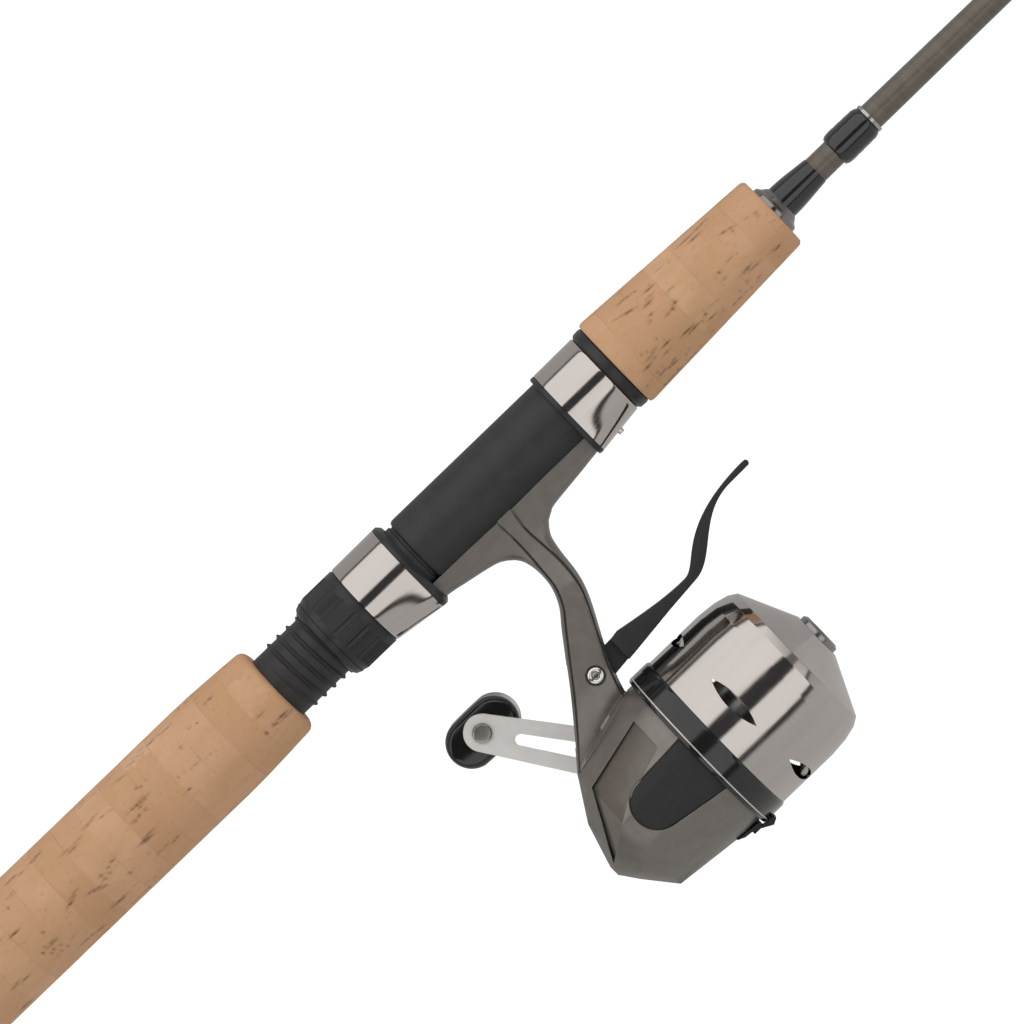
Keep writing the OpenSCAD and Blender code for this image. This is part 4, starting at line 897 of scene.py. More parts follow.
uneven(gun_tree, gun_shader, gun_grain, 0.33, 0.43)
bumped(gun_tree, gun_shader, gun_grain.outputs["Fine"], 0.010, gun_edge.outputs["Normal"])
gun_shader.inputs["Metallic"].default_value = 0.65
gun_shader.inputs["Coat Weight"].default_value = 0.12

foot_low, foot_high = (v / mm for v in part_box("reel_frame"))
foot_rear, foot_front = foot_low.x - reel_x, foot_high.x - reel_x
bed_r = foot_r + 0.02
# Each level: rear edge, rib's rear line, rib's front line and front edge. They are x from the reel and z
# from the rod.
levels = np.array([
    [(-14.3, -13.5), (-10.2, -6.4), (-6.7, -6.4), (-2.7, -13.4)],
    [(-12.9, -14.8), (-9.9, -11.0), (-7.4, -11.0), (-3.85, -14.8)],
    [(-11.9, -16.7), (-9.9, -15.4), (-7.2, -15.4), (-4.7, -16.5)],
    [(-11.4, -20.0), (-10.2, -20.0), (-6.9, -20.0), (-5.3, -20.0)],
    [(-11.75, -23.6), (-10.7, -24.2), (-7.1, -24.6), (-5.7, -24.1)],
    [(-13.3, -27.3), (-12.3, -28.1), (-7.9, -28.6), (-6.5, -27.6)],
    [(-16.0, -30.8), (-15.0, -31.7), (-9.7, -32.8), (-8.0, -31.3)],
    [(-19.9, -36.1), (-19.0, -37.0), (-12.2, -37.9), (-10.8, -36.8)],
    [(-24.0, -41.7), (-23.1, -42.5), (-14.2, -41.9), (-12.9, -41.3)],
    [(-28.9, -47.8), (-27.9, -48.3), (-15.9, -46.6), (-14.7, -46.2)],
    [(-34.2, reel_z + 12.85), (-33.0, reel_z + 13.2), (-16.6, reel_z + 17.92), (-15.3, reel_z + 18.3)]])
rib_rows = np.stack([through(levels[:, i], 6) for i in range(4)], 1)
depth_at = np.linspace(0, 10, len(rib_rows))
rear_foot = through([(foot_rear, -9.33, foot_rear, -6.4), (-28, -10.13, -28, -6.4),
                     (-23, -11.02, -23, -6.4),
                     (-18.5, -11.9, -17.5, -6.4), (-15.9, -12.6, -13.6, -6.4), (-14.3, -13.5, -10.75,
                                                                                -6.4)], 5)
front_foot = through([(foot_front, -9.33, foot_front, -6.4), (15, -10.13, 15, -6.4), (8, -11.0, 8, -6.4),
                      (0.5, -11.9, 0.5, -6.4), (-1.2, -12.55, -3.2, -6.4), (-2.7, -13.4, -6.15, -6.4)], 5)


def plate_half(level):
    """Half the thickness of the stem's side plates down its length."""
    return np.interp(level, [0, 1, 2, 3, 4.2, 10], [5.3, 5.2, 4.95, 4.55, 3.9, 3.9])


def rib_half(level):
    """Half the thickness over the ribs."""
    return np.interp(level, [0, 1, 2, 3, 4.2, 10], [5.56, 5.5, 5.3, 4.9, 4.2, 4.2])


def spread_out(x, z, half, level):
    """The half thickness, which meets the body's own width at the seam."""
    share = np.clip((level - 8.0) / 2.0, 0, 1) ** 1.6
    if share <= 0:
        return half
    return half * (1 - share) + share * max(2.3, half_width(x, z - reel_z) + 0.01)


rib_groove = 0.32


def edge_row(inner, outer, half, chamfer, level):
    """Points from the inner line on one side, round the edge, to the inner line on the other side."""
    inner, outer = np.array(inner), np.array(outer)
    reach = np.linalg.norm(inner - outer)
    way = (inner - outer) / reach
    chamfer = min(chamfer, reach * 0.8)
    side = []
    for u in (0, min(0.3, 0.45 / reach), 0.5, 1):
        p = inner + (outer + way * chamfer - inner) * u
        groove = rib_groove if u == 0 and level > 0 else 0
        side.append((p[0], spread_out(p[0], p[1], half, level) - groove, p[1]))
    top = side[-1][1]
    for u in (0.86, 0.68, 0.48, 0.25):
        p = outer + way * chamfer * u ** 2.1
        side.append((p[0], top * u, p[1]))
    middle = [(outer[0], 0.0, outer[1])]
    return side + middle + [(x, -y, z) for x, y, z in side[::-1]]


def foot_of_rib(rib_point, edge_point):
    """Where the rib's flank meets the plate."""
    away = np.array(edge_point) - np.array(rib_point)
    reach = np.linalg.norm(away)
    return np.array(rib_point) + away / reach * min(0.5, 0.34 * reach)


def bed_point(x, half):
    """The foot's edge on the seat's round, at a half width."""
    return (x, -math.sqrt(bed_r ** 2 - half ** 2))


patches = []
foot_half = 5.5
rib_feet = {0: [], 1: []}
for which, (edge, rib, foot_rows, chamfers) in enumerate(
        ((0, 1, rear_foot, ([0, 2, 4, 10], [1.45, 1.05, 0.85, 0.8])),
         (3, 2, front_foot, ([0, 2, 4, 10], [1.45, 1.35, 1.3, 1.15])))):
    rows = []
    for k, (ox, oz, ix, _) in enumerate(foot_rows[:-1]):
        half = np.interp(k, [0, 14, len(foot_rows) - 1], [foot_half, foot_half, 5.3])
        rows.append(edge_row(bed_point(ix, half), (ox, oz), half, 1.5, -1))
    for level, row in zip(depth_at, rib_rows):
        half = plate_half(level)
        start = foot_of_rib(row[rib], row[edge])
        if level == 0:
            start = np.array(bed_point(start[0], half))
        rib_feet[which].append(start)
        rows.append(edge_row(start, row[edge], half, np.interp(level, *chamfers), level))
    patches.append(np.array(rows))
rib_sides = []
for k, (level, row) in enumerate(zip(depth_at, rib_rows)):
    line = []
    tall = rib_half(level)
    for u in (0, 0.0001, 0.12, 0.3, 0.5, 0.7, 0.88, 0.9999, 1):
        if u in (0, 1):
            x, z = rib_feet[0][k] if u == 0 else rib_feet[1][k]
            y = spread_out(x, z, plate_half(level), level) - (rib_groove if level > 0 else 0)
        else:
            x, z = row[1] + (row[2] - row[1]) * np.clip((u - 0.0001) / 0.9998, 0, 1)
            y = spread_out(x, z, tall, level)
        if level == 0:
            z = bed_point(x, y)[1]
        line.append((x, y, z))
    rib_sides.append(line)
rib_sides = np.array(rib_sides)
patches += [rib_sides, rib_sides * [1, -1, 1]]
bed_line = [r[0] for r in patches[0][:len(rear_foot) - 1]] + list(rib_sides[0]) + \
    [r[0] for r in patches[1][:len(front_foot) - 1]][::-1]
bed = []
for x, y, z in bed_line:
    bed.append([(x, y * u, -math.sqrt(bed_r ** 2 - (y * u) ** 2)) for u in np.linspace(1, -1, 11)])
patches.append(np.array(bed))
points, faces = [], []
for patch in patches:
    rows, columns = patch.shape[:2]
    start = len(points)
    points += [tuple(p + np.array([reel_x, 0, 0])) for p in patch.reshape(-1, 3)]
    faces += [(start + i * columns + j, start + i * columns + j + 1,
               start + (i + 1) * columns + j + 1, start + (i + 1) * columns + j)
              for i in range(rows - 1) for j in range(columns - 1)]
caps = [list(patches[0][0]) + list(bed[0])[::-1][1:-1], list(patches[1][0]) + list(bed[-1])[::-1][1:-1],
        list(patches[0][-1]) + list(rib_sides[-1] * [1, -1, 1])[1:-1] + list(patches[1][-1])[::-1]
        + list(rib_sides[-1])[::-1][1:-1]]
for cap_points in caps:
    faces.append(tuple(range(len(points), len(points) + len(cap_points))))
    points += [tuple(np.array(p) + np.array([reel_x, 0, 0])) for p in cap_points]
stem = build("reel_foot_and_stem", points, faces, gunmetal, 24)
edge_lines = np.vstack([patches[i][:, 8:9].reshape(-1, 3) for i in (0, 1)])[:, [0, 2]]
groove_lines = np.vstack([rib_sides[6:, 0], rib_sides[6:, -1]])[:, [0, 2]]
slot_cut = solid("slot", prism([(-30.6, 7.6), (-8, 7.6), (-8, 30.4), (-30.6, 30.4)], -1.8, 1.8))
stem = combined(stem, slot_cut, sharp=24)
pivot = ((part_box("trigger_pin")[0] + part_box("trigger_pin")[1]) / 2) / mm
bore_cut = turned("bore", [(-20, 0), (-20, 2.12), (-3.15, 2.12), (-3.15, 1.22), (20, 1.22), (20, 0)], None,
                  48,
                  at=(pivot.x, 0, pivot.z), axis="y")
stem = combined(stem, bore_cut, sharp=24)
# Painted shade: points within 1 mm of the chamfered outer edges, and on the rib grooves low on the stem, get a
# "shade" value. The paint darkens there to stand in for the shade these chamfers and grooves fall into.
stem_xz = np.array([(v.co.x / mm - reel_x, v.co.z / mm) for v in stem.data.vertices])
stem_y = np.abs([v.co.y / mm for v in stem.data.vertices])
to_edge = np.min(np.linalg.norm(stem_xz[:, None] - edge_lines[None], axis=2), 1)
to_groove = np.min(np.linalg.norm(stem_xz[:, None] - groove_lines[None], axis=2), 1)
dark = np.where((to_edge < 1.0) & (stem_y > 1.2), 0.55, 0.0)
dark = np.maximum(dark, np.where((to_groove < 0.14) & (stem_y > 3), 0.95, 0.0))
layer = stem.data.attributes.new("shade", "FLOAT", "POINT")
layer.data.foreach_set("value", dark.astype(np.float32))
put(stem, "handle", "graphite_paint", "reel_frame")
polished = surface("polished_screw", (0.80, 0.785, 0.76), 0.16, metallic=1.0, size=0.3, depth=0.002,
                   tint=0.04)
pin_low, pin_high = (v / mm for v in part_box("trigger_pin"))
pin_profile = rounded([(0.55, 0, 0), (0.55, 0.62, 0.1), (0.12, 0.92, 0.15), (0, 1.25, 0.2),
                       (0.12, 1.62, 0.3),
                       (0.5, 1.82, 0.15), (1.0, 1.82, 0), (1.05, 1.19, 0), (pin_high.y - pin_low.y - 0.2,
                                                                            1.19, 0.1),
                       (pin_high.y - pin_low.y, 1.0, 0.1), (pin_high.y - pin_low.y, 0, 0)])
put(turned("trigger_pivot_screw", pin_profile, polished, steps=64, at=(pivot.x, pin_low.y, pivot.z),
           axis="y"),
    "handle", "steel", "trigger_pin")

# ---------- rear shell and side insets ----------
# The lower half of the body is a matching casting with flat facets that close to a blunt keel. A sunk panel
# and a U-shaped recess lie on each side. A moulded black inset is pressed into each recess.
seam_slope = (seam_front[1] - seam_rear[1]) / (seam_front[0] - seam_rear[0])
seam_stop = seam_front[0] + 0.1
shell_crank_x = band_x - 6.4
crank_bore = 4.02
boss = prism(circle((shell_crank_x, 0), 5.6, 48), 6.6, 30)
cavity = combined(solid("cavity", shell_hull(1.6)), solid("boss", boss))
housing = combined(solid("rear_shell", hull_work, gunmetal), cavity)


def seam_z(x):
    """Height of the slanting seam."""
    return seam_rear[1] + (x - seam_rear[0]) * seam_slope


above = prism([(-60, seam_z(-60)), (seam_stop, seam_z(seam_stop)), (seam_stop, 40), (-60, 40)], -40, 40)
housing = combined(housing, solid("above_seam", above))
panel = [(-17.9, 13.5), (-33.3, 9.6), (-40.9, -4.6), (-30.1, 2.8), (-17.9, 6.6)]


def u_outline(grow, front):
    """The inset's outline: round behind and open to the band in front."""
    cx, cz, r = -25.6, -1.3, 5.6 + grow
    slope_top, slope_low = math.radians(94.3), math.radians(-99.0)
    arc = np.linspace(slope_top, turn + slope_low, 33)
    points = [(cx + r * math.cos(a), cz + r * math.sin(a)) for a in arc]
    return [(front, 5.2 + grow)] + points + [(front, -8.8 - grow)]


for outline, depth in ((panel, 0.5), (u_outline(0, band_x + 1), 0.62)):
    for y0, y1 in ((3, 30), (-30, -3)):
        cutter = combined(solid("cutter", prism(outline, y0, y1)), solid("core", shell_hull(depth)))
        housing = combined(housing, cutter)
cuts = [prism([(-31.4, 6), (-13, 6), (-13, 30), (-31.4, 30)], -1.8, 1.8),
        prism([(-20.6, -30), (-13.4, -30), (-13.4, -14), (-20.6, -14)], -1.1, 1.1),
        prism(circle((shell_crank_x, 0), crank_bore, 48), 1, 40)]
for cut in cuts:
    housing = combined(housing, solid("cutter", cut))
housing.name = "rear_shell"
# Painted shade: faces sunk 0.12 to 0.9 mm below the body's form, which are the floors of the sunk panels and
# recesses, get a "shade" value. The paint darkens there to stand in for the shade on these recessed facets.
shade_layer = housing.data.attributes.new("shade", "FLOAT", "FACE")
sunk = []
for face in housing.data.polygons:
    c = face.center / mm - Vector((reel_x, 0, reel_z))
    deep = half_width(c.x, c.z) - abs(c.y)
    sunk.append(0.42 if 0.12 < deep < 0.9 and abs(c.y) > 2.4 and face.area > 4 * mm * mm else 0.0)
shade_layer.data.foreach_set("value", sunk)
put(housing, "handle", "graphite_paint", "rear_housing")
matt_black = surface("matt_black_nylon", (0.020, 0.020, 0.020), 0.55, size=0.25, depth=0.015, tint=0.2,
                     wear=(0.05, 0.05, 0.048), edge=0.2, gain=0.8)
insets = []
for y0, y1 in ((4, 30), (-30, -4)):
    inset = combined(solid("inset", prism(u_outline(-0.3, band_x - 0.06), y0, y1), matt_black),
                     solid("skin", shell_hull(0.12)), "INTERSECT")
    inset = combined(inset, solid("core", shell_hull(0.57)))
    if y0 > 0:
        ring_cut = prism(circle((shell_crank_x, 0), 6.12, 64), 1, 40)
        inset = combined(inset, solid("cutter", ring_cut))
    insets.append(inset)
put(joined("side_inset_pair", insets, 25), "handle", "black_plastic", "side_insets")
boss_ring = turned("crank_boss", rounded([(-1.2, 4.03, 0), (-1.2, 5.9, 0), (0.9, 5.9, 0.35),
                                          (0.9, 4.03, 0.2)]),
                   gunmetal, steps=72, at=(reel_x + shell_crank_x, half_width(shell_crank_x, 0) - 0.3,
                                           reel_z), axis="y")
put(boss_ring, "handle", "graphite_paint")

# ---------- band ring ----------
# A glossy black moulded ring carries the front cover on the body. One fine silver line is printed round it.
gloss_black = surface("gloss_black_nylon", (0.012, 0.012, 0.012), 0.13, size=0.5, depth=0.004, tint=0.1,
                      rough_span=0.05, coat=0.5, coat_roughness=0.05)
band_x1 = band_high.x - reel_x
reel_at = (reel_x, 0, reel_z)
put(turned("band_ring_gloss", rounded([(band_x + 0.02, body_r - 1.1, 0), (band_x + 0.02, body_r + 0.05,
                                                                          0.15),
                                       (band_x + 0.55, body_r + 0.29, 0.3), (band_x1 - 0.55, body_r + 0.29,
                                                                             0.3),
                                       (band_x1, body_r + 0.05, 0.15), (band_x1, body_r - 1.1, 0)]),
           gloss_black, steps=256, at=reel_at), "handle", "gloss_black", "band_ring")
silver_line = surface("silver_ink", (0.72, 0.70, 0.68), 0.35, metallic=0.4, size=0.1, depth=0.002, tint=0.1)
put(turned("band_silver_line", rounded([(band_x + 0.86, body_r + 0.2, 0), (band_x + 0.86, body_r + 0.3, 0),
                                        (band_x + 1.12, body_r + 0.3, 0), (band_x + 1.12, body_r + 0.2,
                                                                           0)]),
           silver_line, steps=256, at=reel_at), "handle", "bright_alloy")

# ---------- front cover and line eyelet ----------
# The cover is drawn from aluminium sheet, polished and plated in warm dark nickel. Five lens-shaped windows
# are punched round it, and a turned steel eyelet is swaged into the nose for the line.
cover_low, cover_high = (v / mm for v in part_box("front_cover"))
cover_x, cover_end, cover_r = cover_low.x - reel_x, cover_high.x - reel_x, cover_high.y
wall = 0.8
cover_profile = rounded([
    (cover_x, cover_r - wall, 0), (cover_x, cover_r, 0.15), (cover_x + 13.6, cover_r, 3.0),
    (cover_x + 17.6, cover_r - 0.38, 1.5), (cover_x + 20.6, cover_r - 1.15, 0.5), (cover_x + 22.35,
                                                                                   cover_r - 2.25, 0.35),
    (cover_end, 5.35, 0.25), (cover_end, 3.02, 0), (cover_end - 1.2, 3.02, 0), (cover_end - 1.4, 4.7, 0),
    (cover_x + 21.6, cover_r - 2.2 - wall, 0), (cover_x + 17.2, cover_r - wall - 0.4, 0),
    (cover_x + 13.6, cover_r - wall, 0)], steps=6)
cover = turned("front_cover_plated", cover_profile, plated, steps=288, at=reel_at, sharp=16)
window_half, window_wide = 6.6, 1.4
lens_r = (window_half ** 2 + window_wide ** 2) / (2 * window_wide)
lens = []
for side in (1, -1):
    span = math.asin(window_half / lens_r)
    lens += [(side * (lens_r * math.cos(a) - lens_r + window_wide), side * lens_r * math.sin(a))
             for a in np.linspace(-span, span, 17)[:-1]]
windows = bmesh.new()
for i in range(5):
    facing = math.radians(171.5 + 72 * i)
    out, across = np.array([math.cos(facing), math.sin(facing)]), np.array([-math.sin(facing),
                                                                            math.cos(facing)])
    rows = []
    for r in (13.0, 24.0):
        rows.append([windows.verts.new((cover_x + 7.2 + lx, *(out * r + across * lw))) for lx, lw in lens])
    windows.faces.new(rows[0])
    windows.faces.new(rows[1][::-1])
    for a in range(len(lens)):
        b = (a + 1) % len(lens)
        windows.faces.new((rows[0][a], rows[0][b], rows[1][b], rows[1][a]))
cover = combined(cover, solid("windows", windows), sharp=16)
# On the drum the normals follow the round form, so the windows' cuts leave no marks in the plating.
mesh = cover.data
flat_normals = [tuple(n.vector) for n in mesh.corner_normals]
for face in mesh.polygons:
    centre_r = math.hypot(face.center.y / mm, face.center.z / mm - reel_z)
    radial = Vector((0, face.center.y / mm, face.center.z / mm - reel_z)).normalized()
    on_drum = face.normal.dot(radial) > 0.995 and centre_r > cover_r - 0.05
    for loop in face.loop_indices:
        if on_drum:
            p = mesh.vertices[mesh.loops[loop].vertex_index].co / mm
            n = Vector((0, p.y,
                        p.z - reel_z)).normalized() if p.x - reel_x < cover_x + 12.0 else flat_normals[loop]
            flat_normals[loop] = tuple(n)
mesh.normals_split_custom_set(flat_normals)
put(cover, "cover", "plated", "front_cover")
dark_steel = surface("burnished_steel", (0.36, 0.35, 0.34), 0.22, metallic=1.0, size=0.2, depth=0.004,
                     tint=0.06)
dress(dark_steel, "line_eyelet")

# ---------- spool, gears and shafts ----------
# Inside, a die-cast spool turns on the deck's hub with drag washers. A brass pinion carries the steel
# spinner head, and a return spring pushes the shaft back when the trigger is let go.
spool_alloy = surface("spool_alloy", (0.55, 0.54, 0.52), 0.32, metallic=0.9, size=0.3, depth=0.01)
brass = surface("cut_brass", (0.62, 0.43, 0.18), 0.3, metallic=1.0, size=0.2, depth=0.008,
                wear=(0.8, 0.62, 0.33))
spring_steel = surface("spring_steel", (0.45, 0.44, 0.43), 0.28, metallic=1.0, size=0.15, depth=0.004)
washer_fibre = surface("washer_fibre", (0.20, 0.16, 0.12), 0.7, size=0.2, depth=0.02)
switch_black = surface("switch_nylon", (0.022, 0.022, 0.022), 0.48, size=0.25, depth=0.012, tint=0.2)
dress(switch_black, "thrust_cap")
dress(surface("deck_nylon", (0.075, 0.072, 0.068), 0.5, size=0.3, depth=0.015, tint=0.2), "deck_plate")
dress(spool_alloy, "spool", "spinner_head")
dress(brass, "pinion_gear", "main_gear", "crank_bushing", "spinner_nut")
dress(steel, "deck_screws", "center_shaft", "crank_shaft", "crank_nut", "pickup_pin", "ratchet_wheel",
      "pawl")
dress(spring_steel, "spool_clip", "return_spring", "shaft_collar")
dress(washer_fibre, "drag_washers")

# ---------- crank and knob ----------
# The crank arm is a bright anodised aluminium pressing with a long window. A steel rivet through its end
# carries an oblong glossy knob, hollowed for finger and thumb, that spins freely.
bright = surface("bright_aluminium", (0.99, 0.97, 0.94), 0.42, metallic=0.0, size=0.25, depth=0.006,
                 tint=0.04,
                 wear=(0.95, 0.94, 0.92), edge=0.15)
arm_low, arm_high = (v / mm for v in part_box("crank_arm"))
rivet_low, rivet_high = (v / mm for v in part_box("knob_rivet"))
crank_at = np.array([reel_x + shell_crank_x, reel_z])
knob_at = np.array([(rivet_low.x + rivet_high.x) / 2, (rivet_low.z + rivet_high.z) / 2])
arm_len = float(np.linalg.norm(knob_at - crank_at))
arm_way = (knob_at - crank_at) / arm_len
arm_side = np.array([-arm_way[1], arm_way[0]])


def link_outline(c0, r0, c1, r1, steps=40):
    """Outline of two circles and the tangents between them, along the crank's arm."""
    lean = math.acos((r0 - r1) / (c1 - c0))
    points = [(c1 + r1 * math.cos(a), r1 * math.sin(a)) for a in np.linspace(-lean, lean, steps)]
    points += [(c0 + r0 * math.cos(a), r0 * math.sin(a)) for a in np.linspace(lean, turn - lean, steps)]
    return [tuple(crank_at - [reel_x, reel_z] + arm_way * u + arm_side * w) for u, w in points]


def disc_outline(c, r, steps=40):
    """A circle round a place along the crank's arm."""
    return [tuple(crank_at - [reel_x,
                              reel_z] + arm_way * (c + r * math.cos(a)) + arm_side * r * math.sin(a))
            for a in np.arange(steps) * turn / steps]


arm = solid("crank_arm_bright", prism(link_outline(0, 5.6, arm_len, 3.9), arm_low.y, arm_high.y), bright)
for outline in (link_outline(9.5, 1.9, arm_len - 8, 1.2), disc_outline(0, 2.41),
                disc_outline(arm_len, 1.31)):
    arm = combined(arm, solid("cutter", prism(outline, 10, 40)))
put(softened(arm, 0.22, 2), "crank", "bright_alloy", "crank_arm")
rivet_profile = rounded([(0, 0, 0), (0, 1.7, 0.3), (0.25, 2.1, 0.2), (0.86, 2.1, 0.1), (0.9, 1.3, 0),
                         (rivet_high.y - rivet_low.y - 0.8, 1.3, 0), (rivet_high.y - rivet_low.y - 0.78,
                                                                      2.2, 0.1),
                         (rivet_high.y - rivet_low.y - 0.3, 2.2, 0.3), (rivet_high.y - rivet_low.y, 1.6,
                                                                        0.2),
                         (rivet_high.y - rivet_low.y, 0, 0)])
put(turned("knob_rivet_steel", rivet_profile, steel, steps=48, at=(knob_at[0], rivet_low.y, knob_at[1]),
           axis="y"), "crank", "steel", "knob_rivet")
knob_low, knob_high = (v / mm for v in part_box("knob"))
knob_half, knob_r = (knob_high.x - knob_low.x) / 2, (knob_high.z - knob_low.z) / 2
rings = []
for y, shrink in [(knob_low.y, 4.0), (knob_low.y, 1.4), (knob_low.y + 0.15, 0.85), (knob_low.y + 0.5, 0.4),
                  (knob_low.y + 1.0, 0.12), (knob_low.y + 1.6, 0)] + \
        [(y, 0) for y in np.linspace(knob_low.y + 2.4, knob_high.y - 2.4, 14)] + \
        [(knob_high.y - 1.6, 0), (knob_high.y - 1.0, 0.14), (knob_high.y - 0.5, 0.45),
         (knob_high.y - 0.15, 0.9),
         (knob_high.y, 1.5), (knob_high.y, 2.7), (knob_high.y - 0.85, 2.72), (knob_high.y - 0.86, 4.0)]:
    hollow = 0.8 * max(0, 1 - ((y - knob_low.y - 8.3) / 5.4) ** 2)
    ring = []
    for a in np.arange(96) * turn / 96:
        middle = math.copysign(knob_half - knob_r, math.cos(a)) * min(1, abs(math.cos(a)) * 6)
        px, pz = middle + (knob_r - shrink) * math.cos(a), (knob_r - shrink) * math.sin(a)
        pz -= math.copysign(min(abs(pz), hollow * min(1, abs(math.sin(a)) * 1.5) ** 2), pz)
        if shrink == 4.0 or shrink > 2.6 and y > knob_low.y + 5:
            bore = 2.6 if shrink in (2.7, 2.72) else 1.38
            px, pz = bore * math.cos(a), bore * math.sin(a)
        ring.append((knob_at[0] + px, y, knob_at[1] + pz))
    rings.append(ring)
put(loft("crank_knob_gloss", rings, gloss_black, 30, wrap=True), "crank_knob", "gloss_black", "knob")

# ---------- trigger ----------
# The line is let go with a finger lever moulded in matt black nylon. It turns on a screw pin in the stem,
# and its short inner arm pushes the thrust cap on the back of the centre shaft.
trig = (pivot.x - reel_x, pivot.z - reel_z)


def bezier(points, steps):
    """Points along a cubic curve."""
    p = np.asarray(points, float)
    u = np.linspace(0, 1, steps + 1)[:, None]
    v = 1 - u
    return list(v ** 3 * p[0] + 3 * u * v ** 2 * p[1] + 3 * u * u * v * p[2] + u ** 3 * p[3])


blade_top = [(2, 3.1), (6, 2.9), (9, 3.4)] + bezier([(9, 3.4), (16, 2.2), (21, 1.4), (26, 1.5)], 12)[1:] + \
    bezier([(26, 1.5), (30, 1.6), (31.5, 9.6), (49, 10.4)], 24)[1:] + [(50.4, 10.43), (51.2, 10.4)]
blade_low = [(51.55, 10.1), (51.6, 9.6), (51.3, 9.2)] + bezier([(46, 9.1), (37, 9.0), (33.6, 0.2),
                                                                (27.5, -0.1)], 24) + \
    [(20, -0.8), (9, -2.1), (2, -2.8)]
blade = np.array([tuple(p) for p in blade_top + blade_low]) + trig


def clipped(outline, x0):
    """The outline's part in front of a place."""
    out = []
    for a, b in zip(outline, np.roll(outline, -1, 0)):
        if a[0] >= x0:
            out.append(tuple(a))
        if (a[0] - x0) * (b[0] - x0) < 0:
            out.append(tuple(a + (b - a) * (x0 - a[0]) / (b[0] - a[0])))
    return out


wide = softened(solid("trigger_lever_black", prism(clipped(blade, trig[0] + 7), -3.4, 3.4), matt_black),
                0.45, 3, 40)
centre_x, centre_z = trig
foot_end_r, hub_end_r = 1.3, 2.4
axis_z = -(body_r + 5.6)
tip = (-34.6 + 17.4 - 0.2, axis_z + 3.6)

hub = circle(trig, 3.1, 40)
c0, c1 = np.array(trig), np.array(trig) + [tip[0] - foot_end_r, tip[1]]
way = (c1 - c0) / np.linalg.norm(c1 - c0)
side = np.array([-way[1], way[0]])
lean = math.acos((hub_end_r - foot_end_r) / np.linalg.norm(c1 - c0))
leg = [tuple(c1 + foot_end_r * (way * math.cos(a) + side * math.sin(a))) for a in np.linspace(-lean, lean,
                                                                                              16)]
leg += [tuple(c0 + hub_end_r * (way * math.cos(a) + side * math.sin(a))) for a in np.linspace(lean,
                                                                                              turn - lean, 16)]
toe = [(tip[0], tip[1]), (tip[0], axis_z + 0.9), (tip[0] - 0.4, axis_z + 0.5), (tip[0] - 1.8, axis_z + 0.9),
       (tip[0] - 2.6, tip[1])]
toe = [(centre_x + x, centre_z + z) for x, z in toe]
neck = [(centre_x, centre_z + 2.9), (centre_x + 9, centre_z + 3.2), (centre_x + 9, centre_z - 1.9),
        (centre_x, centre_z - 2.9)]
for outline, half in ((hub, 1.5), (leg, 1.5), (toe, 1.1), (neck, 1.5)):
    wide = combined(wide, solid("part", prism(outline, -half, half)), "UNION")
wide = combined(wide, turned("bore", [(-9, 0), (-9, 1.26), (9, 1.26), (9, 0)], None, 40,
                             at=(pivot.x, 0, pivot.z), axis="y"))
put(wide, "trigger", "black_plastic", "trigger_lever")
dress(switch_black, "anti_reverse_switch")

# ---------- studio ----------
# The object hangs in a white studio. Long soft panels stand above, in front and below it, and the darker
# gaps between them draw crisp lines along the polished parts. A pale floor lies below.
world = bpy.data.worlds.new("white_studio")
bpy.context.scene.world = world
world.use_nodes = True
sky = world.node_tree
sky.nodes.clear()
direction = sky.nodes.new("ShaderNodeTexCoord")
parts_of = sky.nodes.new("ShaderNodeSeparateXYZ")
sky.links.new(direction.outputs["Generated"], parts_of.inputs[0])
height = math_node(sky, "ARCTAN2", parts_of.outputs["Z"], math_node(sky, "MULTIPLY", parts_of.outputs["Y"],
                                                                    -1.0))
panels = sky.nodes.new("ShaderNodeValToRGB")
panels.color_ramp.interpolation = "LINEAR"
bands = [(-180, 0.50), (-48, 0.50), (-44, 0.06), (-39, 0.06), (-37, 0.95), (-8, 0.95), (-6, 0.05),
         (13, 0.05),
         (16, 1.0), (85, 1.0), (88, 0.10), (91, 0.10), (95, 0.42), (178, 0.42)]
ramp = panels.color_ramp.elements
for i, (degrees, level) in enumerate(bands):
    place = (degrees + 180) / 360
    element = ramp[i] if i < 2 else ramp.new(place)
    element.position = place
    element.color = (level, level * 0.985, level * 0.965, 1)
sky.links.new(spread(sky, height, -math.pi, math.pi, 0, 1), panels.inputs["Fac"])
ends = spread(sky, math_node(sky, "ABSOLUTE", parts_of.outputs["X"]), 0.80, 0.97, 0, 1)
around = mixed(sky, ends, panels.outputs["Color"], (0.28, 0.275, 0.27))
glow, plain_white = sky.nodes.new("ShaderNodeBackground"), sky.nodes.new("ShaderNodeBackground")
sky.links.new(around, glow.inputs["Color"])
plain_white.inputs["Color"].default_value = (1, 1, 1, 1)
plain_white.inputs["Strength"].default_value = 1.1
seen, choose, sky_end = (sky.nodes.new(kind) for kind in ("ShaderNodeLightPath", "ShaderNodeMixShader",
                                                         "ShaderNodeOutputWorld"))
sky.links.new(seen.outputs["Is Camera Ray"], choose.inputs[0])
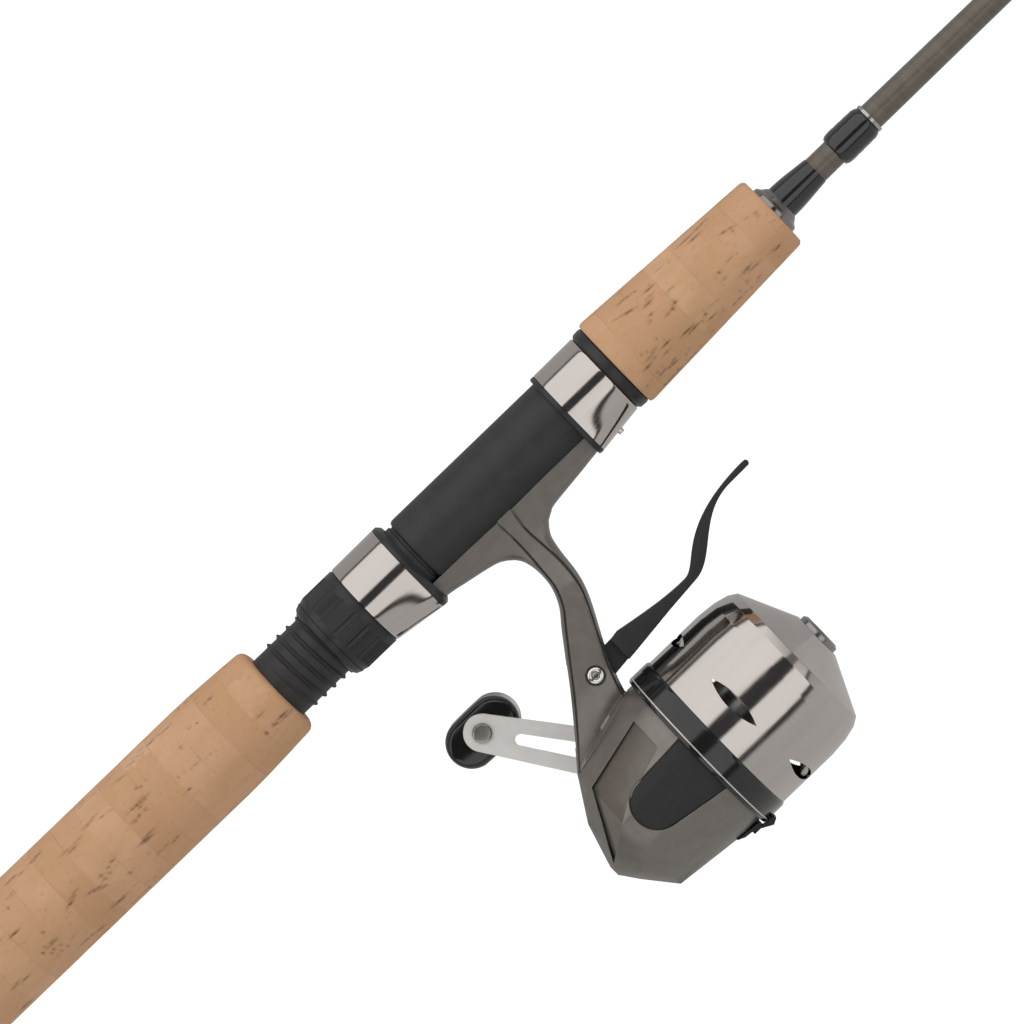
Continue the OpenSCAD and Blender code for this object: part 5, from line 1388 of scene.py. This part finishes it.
sky.links.new(glow.outputs[0], choose.inputs[1])
sky.links.new(plain_white.outputs[0], choose.inputs[2])
sky.links.new(choose.outputs[0], sky_end.inputs["Surface"])
for label, place, size, power in (("key_panel", (0.05, -0.75, 0.75), 0.5, 0.9),
                                  ("fill_panel", (0.5, -0.6, 0.15), 0.4, 0.3)):
    lamp = bpy.data.lights.new(label, "AREA")
    lamp.shape, lamp.size, lamp.energy = "DISK", size, power
    lamp_object = bpy.data.objects.new(label, lamp)
    bpy.context.scene.collection.objects.link(lamp_object)
    aim = Vector((0.16, 0, -0.02)) - Vector(place)
    lamp_object.matrix_world = Matrix.Translation(Vector(place)) @ aim.to_track_quat("-Z",
                                                                                     "Y").to_matrix().to_4x4()
    lamp_object.visible_camera = lamp_object.visible_glossy = False
floor_z = -0.32
floor_mesh = bpy.data.meshes.new("studio_floor")
floor_mesh.from_pydata([(-3, -3, floor_z), (4, -3, floor_z), (4, 0.5, floor_z), (-3, 0.5, floor_z)], [],
                       [(0, 1, 2, 3)])
floor = finish_mesh("studio_floor", floor_mesh, surface("floor_paper", (0.86, 0.86, 0.855), 0.8, tint=0.01))
floor.visible_glossy = False

aim_x, aim_z, side_lean, roll_cos, roll_sin = 0.1732, -0.0071, math.radians(2.0), 0.7202, 0.6938
distance, seen_width = 1.4, 0.2048
level = Vector((math.cos(side_lean), math.sin(side_lean), 0))
back = Vector((math.sin(side_lean), -math.cos(side_lean), 0))
up = Vector((0, 0, 1))
camera_right, camera_up = level * roll_cos - up * roll_sin, level * roll_sin + up * roll_cos
lens = bpy.data.cameras.new("camera")
lens.sensor_width, lens.lens = 36, 36 * distance / seen_width
lens.clip_start, lens.clip_end = 0.05, 50
camera = bpy.data.objects.new("camera", lens)
bpy.context.scene.collection.objects.link(camera)
camera.matrix_world = Matrix.Translation(Vector((aim_x, 0, aim_z)) + back * distance) @ Matrix(
    (camera_right, camera_up, back)).transposed().to_4x4()
bpy.context.scene.camera = camera
bpy.context.scene.view_settings.view_transform = "Standard"
